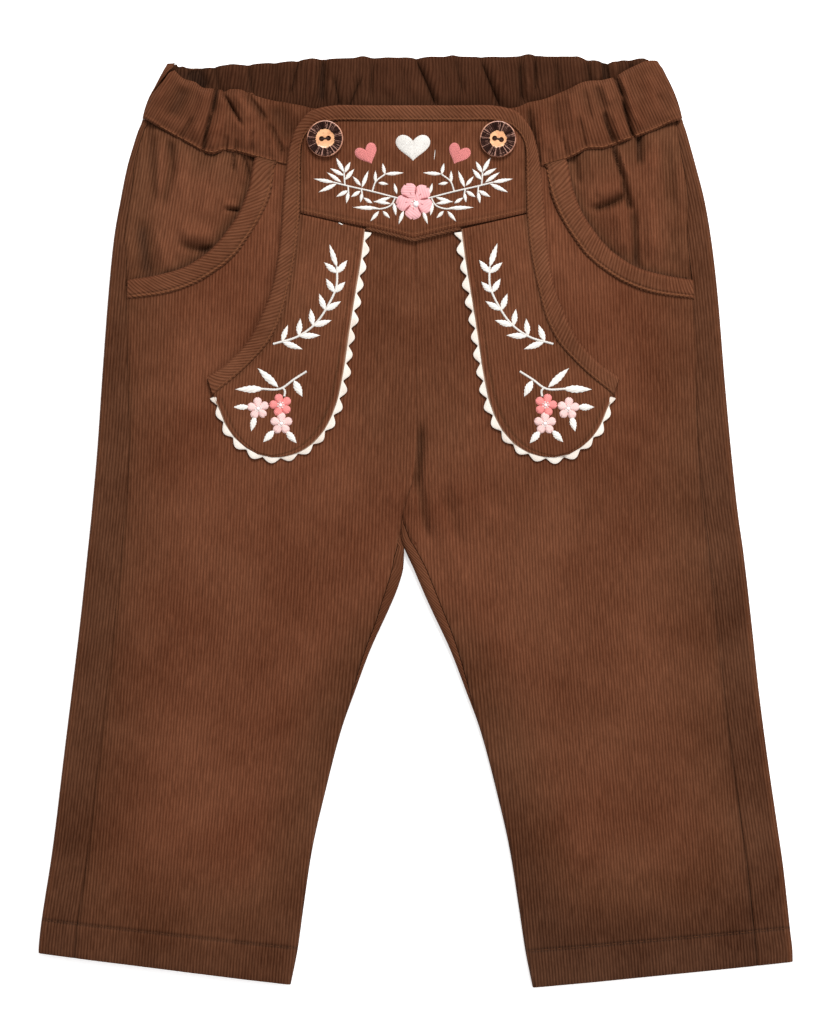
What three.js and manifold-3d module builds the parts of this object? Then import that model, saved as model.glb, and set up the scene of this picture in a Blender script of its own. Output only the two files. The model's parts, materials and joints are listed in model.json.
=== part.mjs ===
// Toddler's lederhosen-style corduroy trousers, laid flat on their back.
// Millimetres. +Z is up from the surface, +Y runs from the hems to the waist, and the wearer's
// left leg is at +X. Each piece that a maker would cut is one closed sheet of cloth.
import * as THREE from "three";
import { mergeVertices } from "three/addons/utils/BufferGeometryUtils.js";
import Module from "manifold-3d";

const { MathUtils, Vector2, Vector3 } = THREE;
const { lerp, smoothstep, clamp } = MathUtils;

// ---------------------------------------------------------------- driving sizes
const CLOTH = 1.6; // fine-wale corduroy with its nap
const HEM_CLOTH = 2.2; // the hem's turn-up and the leg behind it
const HEM_DEPTH = 16;
const BAG_CLOTH = 1.2;
const BAND_CLOTH = 3; // elasticated waistband, gathered
const SEAM_GAP = 0.3; // between two pieces that are sewn together
const WAIST_GAP = 0.8; // the same at the waist seam, where both edges are chords of a curve
const INSEAM_GAP = 1.1; // and at the inseam, whose edges are chords round a fold
const BAG_GAP = 1.2; // and round the pocket bag
const LAID_HEIGHT = 7; // front and back lying on each other, in the middle of a leg
const FOLD_RADIUS = 2.6; // where a leg's cloth turns over at its outline
const CROWN_WIDTH = 28; // how far in the cloth rises from the fold to its full height
const BAND_HEIGHT = 9.4;
const BAND_FOLD_RADIUS = 4;
const BAND_FLAT_HALF = 62; // the front band is plain as far as this, under the flap
const BAND_PUFF_HALF = 71; // and fully gathered from here
const SIDE_EDGE_Y = 177; // the waist seam at the outline
const CROTCH_Y = -12;
const WRAP_FROM_Y = 14; // above the crotch, the centre seams begin to meet
const WRAP_FULL_Y = -2;
const FLAP_CLOTH = 1.5;
const FLAP_CENTRE_X = -1;
const POCKET_SHIFT_X = -2; // both pockets sit a little towards the wearer's right
const POCKET_BINDING_CLOTH = 1.3;
const POCKET_LIFT = 14; // how far past its mouth the bag takes to rise to the side seam
const BAG_DROP = CLOTH + 0.8; // the bag's top face below the front panel's
const BUTTON_RADIUS = 8;
const BUTTON_HEIGHT = 2.6;
const BUTTON_HOLE_RADIUS = 0.75;
const BUTTON_HOLE_PITCH = 3;
const BUTTON_Y = 168.3;
const BUTTON_X = { right: -39.8, left: 36.1 };
const PIPING_RADIUS = 1.1;
const PIPING_HALF_LENGTH = 19.8;
const RICRAC_CLOTH = 1;
const RICRAC_PITCH = 7.8;
const RICRAC_INSET = 0.4; // the braid's straight edge, off the wing
const RICRAC_NARROW = 0.8;
const RICRAC_WIDE = 3;

const SIDES = [
  { name: "right", sign: -1, hemOuterY: -190.5, hemInnerY: -204.4 },
  { name: "left", sign: 1, hemOuterY: -194.3, hemInnerY: -205.7 },
];

// ---------------------------------------------------------------- pattern tables
// Each table's first column is the one it is read by, from high to low or low to high.
const OUTLINE = table(["y", "halfWidth"], [
  [201.5, 108.3], [198, 110.7], [189, 114.8], [180.6, 118.3], [172, 121], [163, 123.6],
  [154, 125.9], [145, 128], [128, 131.3], [101, 134.2], [66, 137], [31, 139.9],
  [-4, 143.7], [-39, 147.6], [-75, 151.3], [-110, 156], [-145, 160.6], [-180, 165.4],
  [-190, 166.3], [-195, 166.3],
]);
const LEG_GAP = table(["y", "halfWidth", "centre"], [
  [-12, 0.15, -5], [-16, 0.9, -4.2], [-22, 2.5, -3], [-31, 5.8, -2.5], [-39, 9.3, -2.4],
  [-57, 17.6, -2.3], [-75, 24.4, -2.2], [-92, 30.5, -2.1], [-119, 37.6, -2], [-145, 43.5, -2],
  [-171, 47.5, -1.9], [-189, 50.1, -1.8], [-206, 53.5, -1.8],
]);
const CENTRE_SEAM = table(["y", "x"], [
  [160, 0], [32, 0], [18, -1], [7, -3.7], [-2, -6.2], [-12, -5],
]);
const SIDE_SEAM = table(["y", "inset"], [
  [202, 6], [158, 6], [127, 6.5], [97, 9.5], [18, 14.7], [-35, 15.2], [-195, 16],
]);
// How far the inseam has rolled over the fold onto the front, along the cloth.
const INSEAM = table(["y", "roll"], [
  [-2, 0], [-12, 6.5], [-25, 6.8], [-40, 6.3], [-57, 4.7], [-75, 2.9], [-92, 0.5], [-206, 0.5],
]);
const WAIST = table(["x", "frontSeam", "backSeam", "frontTop", "backTop"], [
  [0, 153, 178.5, 181.6, 205.7], [40, 153.6, 177.5, 182.4, 203.8], [57, 155.3, 176.4, 185, 202.6],
  [68, 159, 175.8, 188.5, 202], [78, 163, 175.4, 192, 201.6], [88, 164, 175.4, 193.2, 201.3],
  [94, 166, 175.6, 194, 201], [101, 169, 176, 198.5, 201], [107, 171.6, 176.4, 201.5, 201.5],
  [119, 177, 177, 201.5, 201.5],
]);
// The pocket's mouth and the stitched edge of its binding, from the waist seam to the side seam.
const POCKET = [
  { mouth: [67.6, 157], stitch: [58.7, 154.4] },
  { mouth: [72, 144.5], stitch: [61.8, 142.5] },
  { mouth: [76, 134.8], stitch: [67, 131] },
  { mouth: [82.7, 125], stitch: [75, 119] },
  { mouth: [86.2, 121], stitch: [79.3, 114.4] },
  { mouth: [90, 117.5], stitch: [84, 110.5] },
  { mouth: [99.5, 111.5], stitch: [94, 104.3] },
  { mouth: [111.6, 108], stitch: [107, 99.6] },
  { mouth: [124.3, 106], stitch: [124.6, 97.3] },
];
// The flap's binding, from the middle of its top edge to the tip of a wing.
const FLAP_BINDING = [
  { edge: [0, 182.4], stitch: [0, 175.5] },
  { edge: [20, 182.4], stitch: [20, 175.5] },
  { edge: [34.4, 182.4], stitch: [34, 175.5] },
  { edge: [44.5, 180.2], stitch: [41.8, 173.8] },
  { edge: [48.7, 176.5], stitch: [45.6, 171] },
  { edge: [51.8, 172], stitch: [48, 167.6] },
  { edge: [53.8, 166.5], stitch: [49.3, 163.5] },
  { edge: [55.4, 158.5], stitch: [49.6, 157] },
  { edge: [56.9, 146], stitch: [49.6, 145] },
  { edge: [58.2, 128], stitch: [50.3, 129] },
  { edge: [59.5, 116], stitch: [52, 115] },
  { edge: [62, 103], stitch: [55, 101] },
  { edge: [66, 92], stitch: [58.4, 88.5] },
  { edge: [71, 81.5], stitch: [63.5, 78.5] },
  { edge: [76, 74.8], stitch: [70, 71] },
  { edge: [83, 68], stitch: [77.5, 63.8] },
  { edge: [90.5, 63], stitch: [88, 55.2] },
];
const YOKE_SIDE = table(["y", "halfWidth"], [
  [175.2, 33.6], [173.4, 40.8], [170.8, 44.3], [167.4, 46.7], [163.5, 48.3], [124, 49.2],
]);
const YOKE_HEM = table(["x", "y"], [[0, 124.1], [20, 129], [32, 131.3], [50, 135.3]]);
const WING_INNER = [
  [21.2, 128], [23, 114], [25, 102], [28.3, 82], [31.3, 64], [34.8, 50.8], [40.2, 40],
  [47.7, 32.7], [57.6, 29], [62, 28.6],
];
const WING_OUTER = [
  [49.1, 134.4], [49.9, 129], [51.6, 115], [54.6, 101], [58, 88.4], [63, 78.2], [69.6, 70.6],
  [77.1, 63.4], [86.8, 55], [85, 47.5], [81.2, 39.8], [75.2, 33.5], [68.5, 29.8],
];
const WING_TIP = 8; // the entry of WING_OUTER where the binding ends and the ric-rac begins

// ---------------------------------------------------------------- reading the tables
function table(names, rows) {
  const sorted = rows.slice().sort((a, b) => a[0] - b[0]);
  return Object.fromEntries(names.map((name, k) => [name, sorted.map((row) => row[k])]));
}

// The column's value where the table's first column is at the given place.
function read(columns, at, name) {
  const keys = Object.values(columns)[0];
  const values = columns[name];
  const last = keys.length - 1;
  const place = clamp(at, keys[0], keys[last]);
  const k = Math.min(last - 1, keys.findLastIndex((key) => key <= place));
  return lerp(values[k], values[k + 1], (place - keys[k]) / (keys[k + 1] - keys[k]));
}

const outlineAt = (y) => read(OUTLINE, y, "halfWidth");
const waistAt = (x, name) => read(WAIST, Math.abs(x), name);

const legLengths = (points) =>
  points.slice(1).map(([x, y], k) => Math.hypot(x - points[k][0], y - points[k][1]));
const pathLength = (points) => legLengths(points).reduce((sum, length) => sum + length, 0);

// The point at a fraction of a polyline's length.
function alongPath(points, fraction) {
  const lengths = legLengths(points);
  let rest = clamp(fraction, 0, 1) * pathLength(points);
  let k = 0;
  while (k < lengths.length - 1 && rest > lengths[k]) {
    rest -= lengths[k];
    k += 1;
  }
  const t = rest / lengths[k];
  return new Vector2(lerp(points[k][0], points[k + 1][0], t), lerp(points[k][1], points[k + 1][1], t));
}

function fractions(steps) {
  return Array.from({ length: steps + 1 }, (_, k) => k / steps);
}

// ---------------------------------------------------------------- heights of the laid cloth
function crownDrop(inset) {
  const rise = Math.sin((Math.PI / 2) * clamp((inset - FOLD_RADIUS) / CROWN_WIDTH, 0, 1));
  return (LAID_HEIGHT - 2 * FOLD_RADIUS) * (1 - rise);
}

// How far the centre seams have drawn together: 0 over the seat, 1 at the crotch and below it.
function wrapAt(y) {
  return smoothstep(-y, -WRAP_FROM_Y, -WRAP_FULL_Y);
}

// The outside of the front, away from its folds.
function topHeight(x, y) {
  const fromOutline = outlineAt(y) - Math.abs(x);
  const middle = y > CROTCH_Y ? read(CENTRE_SEAM, y, "x") : read(LEG_GAP, y, "centre");
  const halfGap = y > CROTCH_Y ? SEAM_GAP / 2 : read(LEG_GAP, y, "halfWidth");
  const fromGap = Math.abs(x - middle) - halfGap;
  return LAID_HEIGHT - crownDrop(fromOutline) - wrapAt(y) * crownDrop(fromGap);
}

function bandHeight(x, y) {
  const puff = smoothstep(Math.abs(x), BAND_FLAT_HALF, BAND_PUFF_HALF);
  const beyondFold = outlineAt(y) - Math.abs(x) - BAND_FOLD_RADIUS;
  const rise = Math.sqrt(clamp(beyondFold / CROWN_WIDTH, 0, 1));
  const fall = (BAND_HEIGHT - 2 * BAND_FOLD_RADIUS) * (1 - rise);
  return lerp(LAID_HEIGHT, BAND_HEIGHT - fall, puff);
}

// A place on cloth that turns over at the outline. Travel is measured along the cloth from the
// outline, up and over the front when it is positive, under the back when it is negative.
// Depth is how far into the cloth's thickness the place lies.
function foldPlace(travel, radius, depth = 0) {
  const angle = clamp(travel / radius, -Math.PI / 2, Math.PI / 2);
  const beyond = Math.max(Math.abs(travel) - (radius * Math.PI) / 2, 0);
  const inset = radius - (radius - depth) * Math.cos(angle) + beyond;
  return { inset, height: radius + (radius - depth) * Math.sin(angle), flat: beyond > 0 };
}

// ---------------------------------------------------------------- rows down one leg
// The pocket's mouth lies on the first rows, so that the front panel can end there.
function hipRows(side) {
  const span = SIDE_EDGE_Y - SEAM_GAP - CROTCH_Y;
  const pocketRows = POCKET.map(({ mouth }, k) => {
    const top = waistAt(mouth[0], "frontSeam") - SEAM_GAP;
    return { down: k === 0 ? 0 : (top - mouth[1]) / (top - CROTCH_Y), mouthX: pocketX(side, mouth[0]) };
  });
  const lower = [88, 62, 36, 14, 8, 3, -2, -4.5, -8, CROTCH_Y];
  const lowerRows = lower.map((y) => ({ down: (SIDE_EDGE_Y - SEAM_GAP - y) / span, mouthX: null }));
  return [...pocketRows, ...lowerRows].map(({ down, mouthX }) => {
    const outerY = lerp(SIDE_EDGE_Y - SEAM_GAP, CROTCH_Y, down);
    const centreY = lerp(waistAt(0, "frontSeam"), CROTCH_Y, down);
    const outer = new Vector2(side.sign * outlineAt(outerY), outerY);
    const inner = new Vector2(read(CENTRE_SEAM, centreY, "x") + (side.sign * SEAM_GAP) / 2, centreY);
    const width = Math.abs(outer.x - inner.x);
    const step = new Vector2(-side.sign, 0);
    return { down, mouthX, outer, inner, step, width, cloth: CLOTH };
  });
}

function legRows(side) {
  const hemTop = 1 - HEM_DEPTH / (CROTCH_Y - side.hemInnerY);
  const places = [0.04, 0.09, 0.16, 0.25, 0.33, 0.41, 0.56, 0.73, hemTop, hemTop + 0.006, 1];
  return places.map((t) => {
    const outerY = lerp(CROTCH_Y, side.hemOuterY, t);
    const innerY = lerp(CROTCH_Y, side.hemInnerY, t);
    const gap = side.sign * read(LEG_GAP, innerY, "halfWidth");
    const outer = new Vector2(side.sign * outlineAt(outerY), outerY);
    const inner = new Vector2(read(LEG_GAP, innerY, "centre") + gap, innerY);
    const step = inner.clone().sub(outer).normalize();
    const width = inner.distanceTo(outer);
    return { down: null, mouthX: null, outer, inner, step, width, cloth: t > hemTop ? HEM_CLOTH : CLOTH };
  });
}

function panelRows(side) {
  return [...hipRows(side), ...legRows(side)];
}

// The point of a row that is so far in from the outline, on the front or on the floor.
function rowPoint(row, inset, seam, depth) {
  const x = row.outer.x + row.step.x * inset;
  const onHip = row.down !== null;
  const hipY = lerp(waistAt(x, seam) - WAIST_GAP, CROTCH_Y, row.down);
  const y = onHip ? hipY : row.outer.y + row.step.y * inset;
  const z = seam === "frontSeam" ? topHeight(x, y) - depth : depth;
  return new Vector3(x, y, z);
}

function outerFoldPoint(row, travel, depth) {
  const { inset, height } = foldPlace(travel, FOLD_RADIUS, depth);
  return new Vector3(row.outer.x + row.step.x * inset, row.outer.y + row.step.y * inset, height);
}

// A point near the inner fold. Over the seat there is no fold yet, and both layers lie flat.
function innerFoldPoint(row, travel, seam, depth) {
  const unfolded = foldPlace(travel, FOLD_RADIUS);
  const flat = rowPoint(row, row.width - unfolded.inset, seam, depth);
  if (unfolded.flat) {
    return flat;
  }
  const { inset, height } = foldPlace(travel, FOLD_RADIUS, depth);
  const folded = new Vector3(row.inner.x - row.step.x * inset, row.inner.y - row.step.y * inset, height);
  return flat.lerp(folded, wrapAt(row.inner.y));
}

// ---------------------------------------------------------------- closed sheets of cloth
// Two layers of the same rows of points: the cloth's outside, and its inside one thickness in.
// The outside is read facing the viewer, its rows from top to bottom and left to right.
function sheet(rows, inside) {
  const last = rows.length - 1;
  const end = rows[0].length - 1;
  const positions = [...rows.flat(), ...inside.flat()].flatMap((p) => [p.x, p.y, p.z]);
  const outer = (i, j) => i * (end + 1) + j;
  const inner = (i, j) => outer(i, j) + (last + 1) * (end + 1);
  const faces = [];
  for (let i = 0; i < last; i += 1) {
    for (let j = 0; j < end; j += 1) {
      faces.push(outer(i, j), outer(i + 1, j), outer(i, j + 1));
      faces.push(outer(i + 1, j), outer(i + 1, j + 1), outer(i, j + 1));
      faces.push(inner(i, j), inner(i, j + 1), inner(i + 1, j));
      faces.push(inner(i + 1, j), inner(i, j + 1), inner(i + 1, j + 1));
    }
  }
  const rim = [];
  for (let i = 0; i < last; i += 1) rim.push([i, 0]);
  for (let j = 0; j < end; j += 1) rim.push([last, j]);
  for (let i = last; i > 0; i -= 1) rim.push([i, end]);
  for (let j = end; j > 0; j -= 1) rim.push([0, j]);
  rim.forEach(([i, j], k) => {
    const [p, q] = rim[(k + 1) % rim.length];
    faces.push(outer(p, q), outer(i, j), inner(i, j));
    faces.push(outer(p, q), inner(i, j), inner(p, q));
  });
  return new THREE.BufferGeometry()
    .setAttribute("position", new THREE.Float32BufferAttribute(positions, 3))
    .setIndex(faces);
}

// A sheet from the points at each depth, 0 on the outside and 1 on the inside. One side's rows
// run the other way, so their columns are reversed.
function sheetOf(pointsAt, reversed) {
  const [outside, inside] = [0, 1].map((depth) => {
    const rows = pointsAt(depth);
    return reversed ? rows.map((row) => row.slice().reverse()) : rows;
  });
  return sheet(outside, inside);
}

// A sheet that lies on what is below it, with its thickness straight down.
function laidSheet(rows, cloth, reversed) {
  const under = (point) => new Vector3(point.x, point.y, point.z - cloth);
  return sheetOf((depth) => (depth === 0 ? rows : rows.map((row) => row.map(under))), reversed);
}

// ---------------------------------------------------------------- the panels
// From the side seam on the front, round the outline, across the floor and up to the inseam.
function backPanel(side) {
  const quarter = (FOLD_RADIUS * Math.PI) / 2;
  const pointsAt = (share) =>
    panelRows(side).map((row) => {
      const depth = share * row.cloth;
      const seam = read(SIDE_SEAM, row.outer.y, "inset") - SEAM_GAP / 2;
      const strip = [0, 0.5].map((t) => rowPoint(row, lerp(seam, FOLD_RADIUS, t), "frontSeam", depth));
      const fold = fractions(5).map((t) => outerFoldPoint(row, lerp(quarter, -quarter, t), depth));
      const across = (t) => lerp(FOLD_RADIUS, row.width - FOLD_RADIUS, t);
      const floor = [1 / 3, 2 / 3].map((t) => rowPoint(row, across(t), "backSeam", depth));
      const roll = read(INSEAM, row.inner.y, "roll") - INSEAM_GAP / 2;
      const inseam = fractions(7).map((t) => {
        const travel = lerp(-quarter, roll, t);
        const flat = rowPoint(row, row.width - lerp(FOLD_RADIUS, 0, t), "backSeam", depth);
        const layer = travel > 0 ? "frontSeam" : "backSeam";
        return flat.lerp(innerFoldPoint(row, travel, layer, depth), wrapAt(row.inner.y));
      });
      return [...strip, ...fold, ...floor, ...inseam];
    });
  return sheetOf(pointsAt, side.sign < 0);
}

// From the side seam, or the pocket's mouth, to the centre seam and the inseam.
function frontPanel(side) {
  const quarter = (FOLD_RADIUS * Math.PI) / 2;
  const pointsAt = (share) =>
    panelRows(side).map((row) => {
      const depth = share * row.cloth;
      const seam = read(SIDE_SEAM, row.outer.y, "inset") + SEAM_GAP / 2;
      const start = row.mouthX === null ? seam : Math.max(seam, Math.abs(row.outer.x - row.mouthX));
      const roll = read(INSEAM, row.inner.y, "roll") + INSEAM_GAP / 2;
      const flatFrom = Math.max(quarter + 5, roll + 3);
      const end = row.width - foldPlace(flatFrom, FOLD_RADIUS).inset;
      const across = (t) => lerp(start, end, t ** 1.4);
      const travel = (t) => lerp(roll, flatFrom, t);
      const field = fractions(5).map((t) => rowPoint(row, across(t), "frontSeam", depth));
      const edge = [0.5, 0.25, 0].map((t) => innerFoldPoint(row, travel(t), "frontSeam", depth));
      return [...field, ...edge];
    });
  return sheetOf(pointsAt, side.sign > 0);
}

// ---------------------------------------------------------------- the waistband
function frontBand() {
  const pointsAt = (share) =>
    fractions(3).map((t) => {
      const edgeY = lerp(201.5, SIDE_EDGE_Y, t);
      const reach = outlineAt(edgeY) - read(SIDE_SEAM, edgeY, "inset") - SEAM_GAP / 2;
      return fractions(26).map((c) => {
        const x = lerp(-reach, reach, c);
        const y = lerp(waistAt(x, "frontTop"), waistAt(x, "frontSeam"), t);
        const puff = smoothstep(Math.abs(x), BAND_FLAT_HALF, BAND_PUFF_HALF);
        return new Vector3(x, y, bandHeight(x, y) - share * lerp(CLOTH, BAND_CLOTH, puff));
      });
    });
  return sheetOf(pointsAt, false);
}

// Round both outlines and flat across the floor, where its plain inside shows above the front.
function backBand() {
  const quarter = (BAND_FOLD_RADIUS * Math.PI) / 2;
  const pointsAt = (share) =>
    fractions(3).map((t) => {
      const edgeY = lerp(201.5, SIDE_EDGE_Y, t);
      const halfWidth = outlineAt(edgeY);
      const seam = read(SIDE_SEAM, edgeY, "inset") - SEAM_GAP / 2;
      const depth = share * BAND_CLOTH;
      const sideOf = (sign) => {
        const x = sign * (halfWidth - seam);
        const y = lerp(waistAt(x, "frontTop"), waistAt(x, "frontSeam"), t);
        const fold = fractions(6).map((c) => {
          const { inset, height } = foldPlace(lerp(quarter, -quarter, c), BAND_FOLD_RADIUS, depth);
          return new Vector3(sign * (halfWidth - inset), edgeY, height);
        });
        return [new Vector3(x, y, 2 * BAND_FOLD_RADIUS - depth), ...fold];
      };
      const floor = fractions(16).slice(1, -1).map((c) => {
        const x = lerp(-1, 1, c) * (halfWidth - BAND_FOLD_RADIUS);
        return new Vector3(x, lerp(waistAt(x, "backTop"), waistAt(x, "backSeam"), t), depth);
      });
      return [...sideOf(-1), ...floor, ...sideOf(1).reverse()];
    });
  return sheetOf(pointsAt, true);
}

// ---------------------------------------------------------------- the pockets
function pocketX(side, halfDistance) {
  const seamX = POCKET.at(-1).mouth[0];
  const share = (seamX - halfDistance) / (seamX - POCKET[0].stitch[0]);
  return side.sign * halfDistance + POCKET_SHIFT_X * clamp(share, 0, 1);
}

function pocketPoint(side, place, lift) {
  const x = pocketX(side, place[0]);
  return new Vector3(x, place[1], topHeight(x, place[1]) + lift);
}

function pocketBinding(side) {
  const lift = SEAM_GAP + POCKET_BINDING_CLOTH;
  const grid = POCKET.map(({ mouth, stitch }) =>
    fractions(3).map((t) => {
      const place = [lerp(mouth[0], stitch[0], t), lerp(mouth[1], stitch[1], t)];
      return pocketPoint(side, place, lift);
    }),
  );
  return laidSheet(grid, POCKET_BINDING_CLOTH, side.sign > 0);
}

// The hip piece seen inside the pocket: under the front panel at the mouth, and level with it
// at the waist seam and the side seam.
function pocketBag(side) {
  const cornerInset = read(SIDE_SEAM, SIDE_EDGE_Y, "inset") + BAG_GAP;
  const corner = [outlineAt(SIDE_EDGE_Y) - cornerInset, 0];
  corner[1] = waistAt(corner[0], "frontSeam") - BAG_GAP;
  const grid = POCKET.map(({ mouth, stitch }, k) => {
    const outerPlace = bagOuterPlace(k / (POCKET.length - 1), corner);
    return [0, 0.3, 0.5, 0.75, 1].map((t) => {
      const nearer = t < 0.3 ? stitch : mouth;
      const from = t < 0.3 ? 0 : (t - 0.3) / 0.7;
      const place = [lerp(nearer[0], outerPlace[0], from), lerp(nearer[1], outerPlace[1], from)];
      const past = t < 0.3 ? 0 : Math.hypot(place[0] - mouth[0], place[1] - mouth[1]);
      return pocketPoint(side, place, -BAG_DROP * (1 - smoothstep(past, 0, POCKET_LIFT)));
    });
  });
  return laidSheet(grid, BAG_CLOTH, side.sign < 0);
}

// Along the waist seam to the corner, and then down the side seam.
function bagOuterPlace(t, corner) {
  if (t < 0.5) {
    const x = lerp(POCKET[0].mouth[0] + 1, corner[0], t * 2);
    return [x, waistAt(x, "frontSeam") - BAG_GAP];
  }
  const y = lerp(corner[1], POCKET.at(-1).mouth[1] + BAG_GAP, t * 2 - 1);
  return [outlineAt(y) - read(SIDE_SEAM, y, "inset") - BAG_GAP, y];
}

// ---------------------------------------------------------------- the flap
const FLAP_TOP = LAID_HEIGHT + SEAM_GAP + FLAP_CLOTH;

function flapYoke() {
  const grid = [0, 0.035, 0.085, 0.15, 0.23, 0.6, 1].map((t) =>
    fractions(12).map((c) => {
      const side = 2 * c - 1;
      const guess = lerp(175.2, YOKE_HEM.y[0], t);
      const x = side * read(YOKE_SIDE, guess, "halfWidth");
      const y = lerp(175.2, read(YOKE_HEM, Math.abs(x), "y"), t);
      return new Vector3(FLAP_CENTRE_X + x, y, FLAP_TOP);
    }),
  );
  return laidSheet(grid, FLAP_CLOTH, false);
}

function flapWing(side) {
  const grid = fractions(16).map((t) => {
    const inner = alongPath(WING_INNER, t);
    const outer = alongPath(WING_OUTER, t);
    return fractions(3).map((c) => {
      const x = FLAP_CENTRE_X + side.sign * lerp(inner.x, outer.x, c);
      return new Vector3(x, lerp(inner.y, outer.y, c), FLAP_TOP);
    });
  });
  return laidSheet(grid, FLAP_CLOTH, side.sign < 0);
}

// One bias strip from the tip of one wing, over the top, to the tip of the other.
function flapBinding() {
  const half = (sign) =>
    FLAP_BINDING.map(({ edge, stitch }) =>
      fractions(2).map((t) => {
        const x = FLAP_CENTRE_X + sign * lerp(edge[0], stitch[0], t);
        return new Vector3(x, lerp(edge[1], stitch[1], t), FLAP_TOP);
      }),
    );
  const grid = [...half(1).reverse(), ...half(-1).slice(1)];
  return laidSheet(grid, FLAP_CLOTH, false);
}

function yokePiping() {
  const section = new THREE.Shape().absarc(0, 0, PIPING_RADIUS, 0, 2 * Math.PI);
  const drop = PIPING_RADIUS + SEAM_GAP;
  const route = [-1, -0.5, 0, 0.5, 1].map((t) => {
    const x = t * PIPING_HALF_LENGTH;
    const z = LAID_HEIGHT + SEAM_GAP + PIPING_RADIUS;
    return new Vector3(FLAP_CENTRE_X + x, read(YOKE_HEM, Math.abs(x), "y") - drop, z);
  });
  return new THREE.ExtrudeGeometry(section, {
    steps: 8,
    curveSegments: 4,
    extrudePath: new THREE.CatmullRomCurve3(route),
  });
}

// A scalloped braid that follows the wing's free edge, from the yoke round to the tip.
function ricrac(side) {
  const path = [...WING_INNER, ...WING_OUTER.slice(WING_TIP + 1).reverse(), WING_OUTER[WING_TIP]];
  const start = 3 / pathLength(path);
  const end = 1 - 1.5 / pathLength(path);
  const scallops = Math.round(((end - start) * pathLength(path)) / RICRAC_PITCH);
  const grid = fractions(scallops * 4).map((t) => {
    const at = lerp(start, end, t);
    const place = alongPath(path, at);
    const ahead = alongPath(path, at + 0.01).sub(alongPath(path, at - 0.01)).normalize();
    const out = new Vector2(ahead.y, -ahead.x);
    const wave = Math.abs(Math.sin(Math.PI * scallops * t));
    const reach = lerp(RICRAC_NARROW, RICRAC_WIDE, wave);
    return [RICRAC_INSET, reach].map((away) => {
      const x = FLAP_CENTRE_X + side.sign * (place.x + out.x * away);
      return new Vector3(x, place.y + out.y * away, LAID_HEIGHT + SEAM_GAP + RICRAC_CLOTH);
    });
  });
  return laidSheet(grid, RICRAC_CLOTH, side.sign > 0);
}

// ---------------------------------------------------------------- the buttons
const wasm = await Module();
wasm.setup();

function solid(geometry) {
  const bare = geometry.index ? geometry.toNonIndexed() : geometry.clone();
  bare.deleteAttribute("normal");
  bare.deleteAttribute("uv");
  const merged = mergeVertices(bare, 1e-4);
  const vertProperties = merged.attributes.position.array;
  const triVerts = new Uint32Array(merged.index.array);
  return new wasm.Manifold(new wasm.Mesh({ numProp: 3, vertProperties, triVerts }));
}

function geometryOf(manifold) {
  const { vertProperties, triVerts } = manifold.getMesh();
  return new THREE.BufferGeometry()
    .setAttribute("position", new THREE.BufferAttribute(vertProperties, 3))
    .setIndex([...triVerts]);
}

// A coconut button: a domed disc with a shallow dish, and two holes across it.
function button() {
  const profile = [
    [0, 0], [0.86, 0], [1, 0.3], [1, 0.66], [0.93, 1], [0.7, 0.96], [0.5, 0.8], [0, 0.76],
  ].map(([r, z]) => new Vector2(r * BUTTON_RADIUS, z * BUTTON_HEIGHT));
  const disc = new THREE.LatheGeometry(profile, 28).rotateX(Math.PI / 2);
  const holes = [-1, 1].map((sign) =>
    new THREE.CylinderGeometry(BUTTON_HOLE_RADIUS, BUTTON_HOLE_RADIUS, 3 * BUTTON_HEIGHT, 10)
      .rotateX(Math.PI / 2)
      .translate((sign * BUTTON_HOLE_PITCH) / 2, 0, 0),
  );
  return geometryOf(holes.reduce((body, hole) => body.subtract(solid(hole)), solid(disc)));
}

// ---------------------------------------------------------------- the trousers
const corduroy = new THREE.MeshStandardMaterial({ color: 0x6e412e, roughness: 0.95, metalness: 0 });
const biasCorduroy = new THREE.MeshStandardMaterial({ color: 0x6b3f2a, roughness: 0.95, metalness: 0 });
const cottonBraid = new THREE.MeshStandardMaterial({ color: 0xf0e8e0, roughness: 0.85, metalness: 0 });
const coconut = new THREE.MeshStandardMaterial({ color: 0x2b1a17, roughness: 0.4, metalness: 0 });

const trousers = new THREE.Group();

function piece(name, geometry, material) {
  const mesh = new THREE.Mesh(geometry, material);
  mesh.name = name;
  trousers.add(mesh);
  return mesh;
}

SIDES.forEach((side) => {
  piece(`front_panel_${side.name}`, frontPanel(side), corduroy);
  piece(`back_panel_${side.name}`, backPanel(side), corduroy);
  piece(`pocket_bag_${side.name}`, pocketBag(side), corduroy);
  piece(`pocket_binding_${side.name}`, pocketBinding(side), biasCorduroy);
  piece(`flap_wing_${side.name}`, flapWing(side), corduroy);
  piece(`ricrac_${side.name}`, ricrac(side), cottonBraid);
  piece(`button_${side.name}`, button(), coconut)
    .position.set(BUTTON_X[side.name], BUTTON_Y, FLAP_TOP + SEAM_GAP);
});
piece("waistband_front", frontBand(), corduroy);
piece("waistband_back", backBand(), corduroy);
piece("flap_yoke", flapYoke(), corduroy);
piece("flap_binding", flapBinding(), biasCorduroy);
piece("yoke_piping", yokePiping(), biasCorduroy);

export default trousers;
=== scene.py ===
"""Toddler's folk-dress trousers in fine corduroy, laid flat on their back: the finished looks.

Every piece of cloth is a thin shell on the form of its solid, with its creases placed one by one.
Tables are in millimetres: +X is the wearer's left, +Y the waist and +Z up from the surface.
"""
import json
import math

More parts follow.
